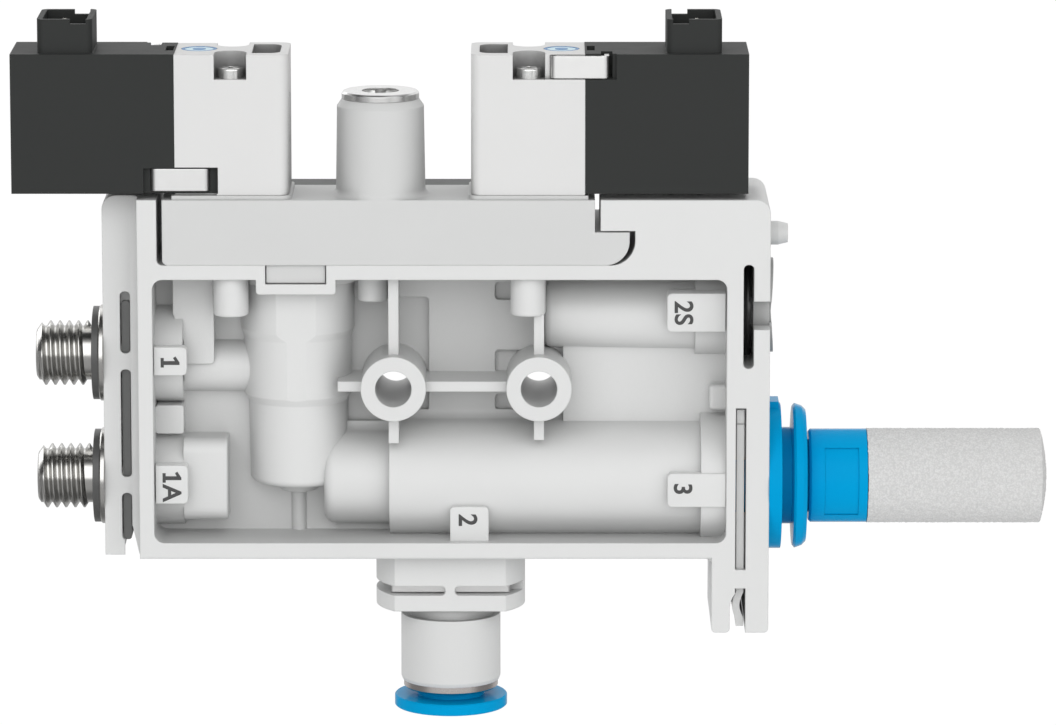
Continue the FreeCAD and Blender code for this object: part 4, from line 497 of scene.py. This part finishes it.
for side in SIDES:
    dress(coil_plastic, f"{side}_coil_housing")
    dress(body_plastic, f"{side}_valve_body")
    dress(bright_steel, f"{side}_lower_staple", f"{side}_upper_staple")
    dress(screw_steel, f"{side}_valve_screws", f"{side}_armature", f"{side}_armature_spring")
    dress(pin_metal, f"{side}_connector_pins")
    dress(copper, f"{side}_coil_winding")
    dress(rubber, f"{side}_valve_gasket")
    dress(override_blue, f"{side}_override_button")
    override_ring(side)

# Flow screw
# A turned steel collar closes the flow tube, and the slotted screw stands inside it. A rubber ring
# seals the screw.
COLLAR_STEEL = (0.72, 0.72, 0.715)

flow_steel = metal(
    "Turned steel", COLLAR_STEEL, roughness=0.24, streak=(1.0, 1.0, 0.3), edge=0.08 * MM
)
dress(flow_steel, "flow_collar")
dress(screw_steel, "flow_screw")
dress(rubber, "flow_screw_seal")

# Threaded ports
# Two fittings turned from brass and nickel-plated, each with a cut M7 thread of 1 mm pitch that
# tapers off at the tip and runs out into a relief groove before the washer.
NICKEL = (0.52, 0.515, 0.50)
WASHER_GREY = (0.09, 0.091, 0.09)
CLIP_GREY = (0.15, 0.152, 0.15)
PORT_STEPS = 96
PORT_WELD = 1e-6
THREAD_STEPS = 64
# Radii, lengths and places along X of a fitting, in mm
THREAD_PITCH = 1.0
THREAD_CREST = 3.5
THREAD_ROOT = 2.93
THREAD_TIP = 2.56
THREAD_LENGTH = 6.0
THREAD_RUN_OUT = 0.35
TIP_BEVEL = 0.65
TIP_LENGTH = 7.38
RELIEF = 3.1
RELIEF_SLOPE = 0.08
CREST_HALF = 0.06
RIDGE_HALF = 0.47
RIDGE_SINK = 0.1
PORT_BORE = 2.0
BORE_BEVEL = 0.25
PORT_FLANGE = 5.2
FLANGE_THICKNESS = 0.6
FLANGE_BEVEL = 0.15
FLANGE_BREAK = 0.06
SPIGOT = 3.6
SPIGOT_GROOVE = 2.85
WING_LEFT = -39.02
FLANGE_LEFT = WING_LEFT - FLANGE_THICKNESS
TIP = WING_LEFT - TIP_LENGTH
THREAD_END = TIP + THREAD_LENGTH
ROOT_START = TIP + TIP_BEVEL * (THREAD_ROOT - THREAD_TIP) / (THREAD_CREST - THREAD_TIP)
CLIP_GROOVE = (-37.30, -35.94)
RING_GROOVE = (-35.04, -33.84)
RING_FLOOR = 2.7
SPIGOT_END = -30.75
PORT_HEIGHTS = {"port_1_fitting": 2.6, "port_1a_fitting": -10.93}

nickel = metal(
    "Nickel plate",
    NICKEL,
    roughness=0.22,
    streak=(0.3, 1.0, 1.0),
    edge=0.04 * MM,
    mark=0.0003 * MM,
)


def turned_along_x(name, points, height, material):
    """Turned piece on an axis along X: a circle drawn out from point to point (place, radius), mm."""
    deselect()
    place, radius = points[0]
    bpy.ops.mesh.primitive_circle_add(
        vertices=PORT_STEPS,
        radius=radius * MM,
        location=(place * MM, 0.0, 0.0),
        rotation=(0.0, math.pi / 2, 0.0),
    )
    piece = begin(name)
    bpy.ops.mesh.select_all(action="SELECT")
    for next_place, next_radius in (*points[1:], points[0]):
        step = (next_place - place) * MM
        bpy.ops.mesh.extrude_region_move(TRANSFORM_OT_translate={"value": (step, 0.0, 0.0)})
        share = next_radius / radius
        bpy.ops.transform.resize(
            value=(1.0, share, share), center_override=(next_place * MM, 0.0, 0.0)
        )
        place, radius = next_place, next_radius
    bpy.ops.mesh.select_all(action="SELECT")
    bpy.ops.mesh.remove_doubles(threshold=PORT_WELD)
    bpy.ops.mesh.normals_make_consistent(inside=False)
    bpy.ops.transform.translate(value=(0.0, 0.0, height * MM))
    return finished(piece, material)


def blank_radius(along):
    """Radius of the bar under the thread cutter, which the crests never pass."""
    cone = THREAD_TIP + (along - TIP) * (THREAD_CREST - THREAD_TIP) / TIP_BEVEL
    run_out = THREAD_CREST - (along - (THREAD_END - THREAD_RUN_OUT))
    return max(min(THREAD_CREST, cone, run_out), THREAD_TIP)


def thread_ridge(material):
    """Helical ridge of the thread about X: its section wound by a Screw modifier."""
    start = TIP + RIDGE_HALF
    turns = (THREAD_LENGTH - 2 * RIDGE_HALF) / THREAD_PITCH
    inside = THREAD_ROOT - RIDGE_SINK
    section = (
        (start - RIDGE_HALF, inside),
        (start + RIDGE_HALF, inside),
        (start - CREST_HALF, THREAD_CREST),
        (start + CREST_HALF, THREAD_CREST),
    )
    deselect()
    bpy.ops.mesh.primitive_plane_add(size=1.0)
    ridge = begin("thread_ridge")
    bpy.ops.mesh.select_all(action="SELECT")
    bpy.ops.mesh.delete(type="ONLY_FACE")
    bpy.ops.object.mode_set(mode="OBJECT")
    for vertex, (along, radius) in zip(ridge.data.vertices, section):
        vertex.co = Vector((along, 0.0, radius)) * MM
    screw = ridge.modifiers.new("Winding", "SCREW")
    screw.axis = "X"
    screw.angle = 2 * math.pi * turns
    screw.screw_offset = THREAD_PITCH * turns * MM
    screw.steps = round(THREAD_STEPS * turns)
    screw.render_steps = screw.steps
    bpy.ops.object.modifier_apply(modifier=screw.name)
    for vertex in ridge.data.vertices:
        along, side, up = vertex.co / MM
        share = min(1.0, blank_radius(along) / math.hypot(side, up))
        vertex.co = Vector((along, side * share, up * share)) * MM
    bpy.ops.object.mode_set(mode="EDIT")
    bpy.ops.mesh.select_all(action="SELECT")
    bpy.ops.mesh.fill_holes(sides=0)
    bpy.ops.mesh.select_all(action="SELECT")
    bpy.ops.mesh.normals_make_consistent(inside=False)
    return finished(ridge, material, angle=30.0)


# Half section of a fitting under its thread (place along X, radius), in mm
FITTING_OUTLINE = (
    (TIP, PORT_BORE + BORE_BEVEL),
    (TIP, THREAD_TIP),
    (ROOT_START, THREAD_ROOT),
    (THREAD_END, THREAD_ROOT),
    (THREAD_END + RELIEF_SLOPE, RELIEF),
    (FLANGE_LEFT, RELIEF),
    (FLANGE_LEFT, PORT_FLANGE - FLANGE_BEVEL),
    (FLANGE_LEFT + FLANGE_BEVEL, PORT_FLANGE),
    (WING_LEFT - FLANGE_BREAK, PORT_FLANGE),
    (WING_LEFT, PORT_FLANGE - FLANGE_BREAK),
    (WING_LEFT, SPIGOT),
    (CLIP_GROOVE[0], SPIGOT),
    (CLIP_GROOVE[0], SPIGOT_GROOVE),
    (CLIP_GROOVE[1], SPIGOT_GROOVE),
    (CLIP_GROOVE[1], SPIGOT),
    (RING_GROOVE[0], SPIGOT),
    (RING_GROOVE[0], RING_FLOOR),
    (RING_GROOVE[1], RING_FLOOR),
    (RING_GROOVE[1], SPIGOT),
    (SPIGOT_END, SPIGOT),
    (SPIGOT_END, PORT_BORE),
    (TIP + BORE_BEVEL, PORT_BORE),
)
for node, height in PORT_HEIGHTS.items():
    fitting = turned_along_x(f"{node}_threaded", FITTING_OUTLINE, height, nickel)
    ridge = thread_ridge(nickel)
    ridge.data.transform(Matrix.Translation((0.0, 0.0, height * MM)))
    deselect()
    ridge.select_set(True)
    fitting.select_set(True)
    bpy.context.view_layer.objects.active = fitting
    bpy.ops.object.join()
    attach(fitting, "ejector")
    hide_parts(node)

washer_plastic = moulded(
    "Washer dark grey", WASHER_GREY, roughness=0.35, edge=0.05 * MM, grain=0.002 * MM, level=0.4
)
clip_plastic = moulded(
    "Spring strip grey", CLIP_GREY, roughness=0.35, edge=0.05 * MM, grain=0.002 * MM
)
dress(washer_plastic, "port_1_washer", "port_1a_washer")
dress(rubber, "port_1_o_ring", "port_1a_o_ring")
dress(clip_plastic, "supply_clip")

# Sensor port
# Port 2S isn't used, so a moulded grey plug closes it from the right. Its black sealing ring shows
# in an open slot of the housing.
PLUG_GREY = (0.60, 0.605, 0.60)

# The plug's grey carries painted shade in its corners and recesses.
plug_plastic = moulded("Plug grey", PLUG_GREY, roughness=0.35, edge=0.12 * MM, painted_shade=0.5)
dress(plug_plastic, "sensor_plug")
dress(rubber, "sensor_plug_o_ring")

# Silencer
# Glossy blue mouldings hold a cylinder of sintered white plastic beads. A grey plastic clip locks the
# cartridge in the housing.
SILENCER_BLUE = (0.0, 0.37, 0.74)
GLOSS_ROUGHNESS = 0.12
LATCH_GREY = (0.72, 0.725, 0.72)
POROUS_WHITE = (0.735, 0.735, 0.73)
POROUS_ROUGHNESS = 0.8
# Tones of the painted shade in the gaps between beads and the painted light on their tops, as shares
# of the colour.
POROUS_PAINTED_TONES = (0.90, 1.06)
BEAD_SIZE = 0.19 * MM
BEAD_RELIEF = 0.025 * MM
BEAD_BLEND = 0.6
BEAD_HEIGHTS = (-0.35, 0.30)
UNEVEN_SIZE = 0.5 * MM
UNEVEN_SHARE = 0.8
# Places along X and radii of the element, in mm
ELEMENT_LEFT = 43.26
ELEMENT_RIGHT = 62.86
ELEMENT_RADIUS = 5.17
ELEMENT_DOME = 0.75
ELEMENT_EDGE = 0.12
ELEMENT_BORE = 2.2
ELEMENT_SPIGOT = 3.17
ELEMENT_STUB_LEFT = 40.26
ELEMENT_BORE_END = 60.36
ELEMENT_MESH = 0.13
ELEMENT_STEPS = 250
ELEMENT_WELD = 1e-6
GRAIN_SIZE = 0.32 * MM
GRAIN_DEPTH = 0.17 * MM

# The blue mouldings carry light painted shade in their corners and recesses.
silencer_blue = moulded(
    "Silencer blue",
    SILENCER_BLUE,
    roughness=0.38,
    edge=0.15 * MM,
    grain=0.002 * MM,
    level=0.03,
    painted_shade=0.85,
    gloss=GLOSS_ROUGHNESS,
)
latch_plastic = moulded("Clip light grey", LATCH_GREY, roughness=0.4, edge=0.1 * MM)
dress(silencer_blue, "silencer_cartridge", "silencer_release_ring", "silencer_sleeve")
dress(latch_plastic, "silencer_clip")


def sintered(name, colour):
    """Beads fused together: rounded grains of uneven size, with painted shade in the gaps between
    them and painted light on their tops.
    """
    finish = Finish(name, colour, POROUS_ROUGHNESS, Specular_IOR_Level=0.25)
    grains = finish.add(
        "ShaderNodeTexVoronoi",
        {"feature": "SMOOTH_F1"},
        {"Vector": finish.place(), "Scale": 1.0 / BEAD_SIZE, "Smoothness": BEAD_BLEND},
    )
    uneven = finish.noise(UNEVEN_SIZE, detail=4.0)
    height = uneven * UNEVEN_SHARE - grains
    # Painted shade and light: the colour is darker in the low gaps between beads and lighter on their
    # high tops.
    lit = height.rising(*BEAD_HEIGHTS)
    tone = finish.blend(lit, *(shaded(colour, amount) for amount in POROUS_PAINTED_TONES))
    finish.link(tone, "Base Color")
    finish.relief(height, BEAD_RELIEF)
    return finish.material


def element_outline():
    """Half section of the element: its bore, spigot and round side, and its slightly domed end."""
    outline = [
        (ELEMENT_BORE_END, 0.0),
        (ELEMENT_BORE_END, ELEMENT_BORE),
        (ELEMENT_STUB_LEFT, ELEMENT_BORE),
        (ELEMENT_STUB_LEFT, ELEMENT_SPIGOT),
        (ELEMENT_LEFT, ELEMENT_SPIGOT),
    ]
    side = ELEMENT_RIGHT - ELEMENT_DOME - ELEMENT_EDGE - ELEMENT_LEFT
    rows = round(side / ELEMENT_MESH)
    outline += [(ELEMENT_LEFT + side * row / rows, ELEMENT_RADIUS) for row in range(rows + 1)]
    rim = ELEMENT_RADIUS - ELEMENT_EDGE / 2
    rings = round(rim / ELEMENT_MESH)
    for ring in range(rings + 1):
        radius = rim * (1 - ring / rings)
        outline.append((ELEMENT_RIGHT - ELEMENT_DOME * (radius / ELEMENT_RADIUS) ** 2, radius))
    return outline


def sintered_element(height):
    """The element's half section wound about X and pushed in a little between its beads."""
    outline = element_outline()
    deselect()
    bpy.ops.mesh.primitive_circle_add(vertices=len(outline))
    piece = begin("silencer_element_sintered")
    bpy.ops.object.mode_set(mode="OBJECT")
    for vertex, (along, radius) in zip(piece.data.vertices, outline):
        vertex.co = Vector((along, 0.0, radius)) * MM
    bpy.ops.object.mode_set(mode="EDIT")
    pick_edges(piece, lambda edge: all(vertex.co.z <= 0.0 for vertex in edge.verts))
    bpy.ops.mesh.delete(type="EDGE")
    bpy.ops.object.mode_set(mode="OBJECT")
    screw = piece.modifiers.new("Winding", "SCREW")
    screw.axis = "X"
    screw.steps = ELEMENT_STEPS
    screw.render_steps = ELEMENT_STEPS
    bpy.ops.object.modifier_apply(modifier=screw.name)
    bpy.ops.object.mode_set(mode="EDIT")
    bpy.ops.mesh.select_all(action="SELECT")
    bpy.ops.mesh.remove_doubles(threshold=ELEMENT_WELD)
    bpy.ops.mesh.normals_make_consistent(inside=False)
    bpy.ops.transform.translate(value=(0.0, 0.0, height * MM))
    bpy.ops.object.mode_set(mode="OBJECT")
    grain = bpy.data.textures.new("Grain", "VORONOI")
    grain.noise_scale = GRAIN_SIZE
    beads = piece.modifiers.new("Beads", "DISPLACE")
    beads.texture = grain
    beads.texture_coords = "LOCAL"
    beads.mid_level = 0.0
    beads.strength = -GRAIN_DEPTH
    bpy.ops.object.modifier_apply(modifier=beads.name)
    bpy.ops.object.mode_set(mode="EDIT")
    return finished(piece, sintered("Porous plastic", POROUS_WHITE), angle=60.0)


element = sintered_element(PORT_HEIGHTS["port_1a_fitting"])
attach(element, "ejector")
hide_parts("silencer_element")
dress(rubber, "silencer_tube_seal")
dress(flow_steel, "silencer_collet")

# Vacuum port
# Push-in fitting for 6 mm hose: a moulded body, a pressed metal ring and a blue release ring. The
# ejector nozzles and the main valve sit behind it inside the housing.
FITTING_GREY = (0.76, 0.765, 0.76)
PRESSED_METAL = (0.70, 0.66, 0.64)

# The fitting body's grey carries painted shade in its corners and recesses.
fitting_plastic = moulded(
    "Fitting light grey", FITTING_GREY, roughness=0.38, edge=0.15 * MM, painted_shade=0.45
)
pressed_ring = metal(
    "Pressed ring", PRESSED_METAL, roughness=0.24, streak=(1.0, 1.0, 0.3), edge=0.06 * MM
)
dress(fitting_plastic, "vacuum_fitting_body")
dress(pressed_ring, "vacuum_fitting_ring")
dress(silencer_blue, "vacuum_release_ring")
dress(bright_steel, "vacuum_clip", "vacuum_collet")
dress(rubber, "vacuum_fitting_o_ring", "vacuum_tube_seal", "check_valve", "piston_seal")
dress(rubber, "nozzle_o_rings")
dress(nickel, "jet_nozzle")
dress(flow_steel, "main_valve_spring")

# Studio
# A long lens looks down by ten and a half degrees on a white sweep, in soft even light. Two bright
# walls, before and behind, and a dimmer band between them give metal its dark stripes.
ELEVATION = math.radians(10.5)
AIM = Vector((6.622, -7.75, 2.932)) * MM
SENSOR_WIDTH = 36.0
VIEW_START = 0.05
VIEW_END = 20.0
# The focal length and the photograph's width in pixels, and pixels to the metre at the front face
LENS_PIXELS = 6600.0
IMAGE_WIDTH = 1056.0
FRONT_SCALE = 9350.0
sight = Vector((0.0, math.cos(ELEVATION), -math.sin(ELEVATION)))

deselect()
bpy.ops.object.camera_add(
    location=AIM - sight * (LENS_PIXELS / FRONT_SCALE),
    rotation=(math.pi / 2 - ELEVATION, 0.0, 0.0),
)
camera = bpy.context.object
camera.data.sensor_width = SENSOR_WIDTH
camera.data.lens = SENSOR_WIDTH * LENS_PIXELS / IMAGE_WIDTH
camera.data.clip_start = VIEW_START
camera.data.clip_end = VIEW_END
bpy.context.scene.camera = camera

FLOOR_HEIGHT = -0.060
FLOOR_SIZE = 8.0
PAPER_WHITE = (0.85, 0.85, 0.85, 1.0)
SWEEP_LEVEL = 1.05
# How far the floor is plain light to the camera, to reflections and to bounced light
SWEEP_SHARE = 0.92
MIRRORED_SHARE = 0.80
MIRRORED_LEVEL = 0.50
MIRRORED_SIDES = 0.12
SIDES_SEEN = (0.30, 0.75)
BOUNCE_SHARE = 0.28


def ray(tree, kind):
    """1 for light rays of a kind, such as Camera or Glossy, and 0 for all others."""
    return tree.add("ShaderNodeLightPath", output=f"Is {kind} Ray")


deselect()
bpy.ops.mesh.primitive_plane_add(size=FLOOR_SIZE, location=(0.0, 0.0, FLOOR_HEIGHT))
floor = bpy.context.object
floor.name = "studio_floor"
sweep = bpy.data.materials.new("White sweep")
sweep.use_nodes = True
sweep.node_tree.nodes.clear()
tree = Tree(sweep.node_tree)
paper = tree.add("ShaderNodeBsdfDiffuse", None, {"Color": PAPER_WHITE})
glow = tree.add("ShaderNodeEmission", None, {"Strength": SWEEP_LEVEL})
ground = tree.add("ShaderNodeTexCoord", output="Object")
bearing = tree.add("ShaderNodeVectorMath", {"operation": "NORMALIZE"}, {0: ground})
ahead = tree.axes(bearing)[1].size().rising(*SIDES_SEEN, MIRRORED_SIDES, MIRRORED_LEVEL)
dim = tree.add("ShaderNodeEmission", None, {"Strength": ahead})
mirrored = ray(tree, "Glossy") * MIRRORED_SHARE
lit = tree.add("ShaderNodeMixShader", None, {0: mirrored, 1: paper, 2: dim})
shown = ray(tree, "Camera") * SWEEP_SHARE + ray(tree, "Diffuse") * BOUNCE_SHARE
surface = tree.add("ShaderNodeMixShader", None, {0: shown, 1: lit, 2: glow})
sweep_output = tree.nodes.new("ShaderNodeOutputMaterial")
tree.links.new(surface.socket, sweep_output.inputs["Surface"])
floor.data.materials.append(sweep)

AIR_WHITE = (1.0, 1.0, 1.0, 1.0)
WORLD_LEVEL = 0.42
WALL_LEVEL = 1.0
BAND_LEVEL = 0.10
world = bpy.data.worlds.new("Soft studio")
world.use_nodes = True
bpy.context.scene.world = world
air = Tree(world.node_tree)
backdrop = air.nodes["Background"]
backdrop.inputs["Color"].default_value = AIR_WHITE
direction = air.add("ShaderNodeTexCoord", output="Generated")
depthwards = air.axes(direction)[1].size()
seen = ray(air, "Camera")
mirrored = ray(air, "Glossy")
walls = depthwards.rising(*SIDES_SEEN, BAND_LEVEL, WALL_LEVEL)
strength = mirrored * walls + seen * WALL_LEVEL + (1.0 - mirrored - seen) * WORLD_LEVEL
air.links.new(strength.socket, backdrop.inputs["Strength"])

# Name, place and size in metres, and power in watts
LAMPS = (
    ("key", (-0.06, -0.98, 0.40), 1.20, 5.9),
    ("fill", (0.80, -0.65, 0.10), 0.60, 1.4),
    ("back", (-0.75, 0.75, 0.20), 0.60, 2.0),
    ("rim", (0.1, 0.5, 1.1), 1.30, 3.8),
)
for name, place, size, power in LAMPS:
    bpy.ops.object.light_add(type="AREA", location=place)
    lamp = bpy.context.object
    lamp.name = f"studio_{name}"
    lamp.data.size = size
    lamp.data.energy = power
    lamp.rotation_euler = (-Vector(place)).to_track_quat("-Z", "Y").to_euler()

bpy.context.scene.view_settings.view_transform = "Standard"
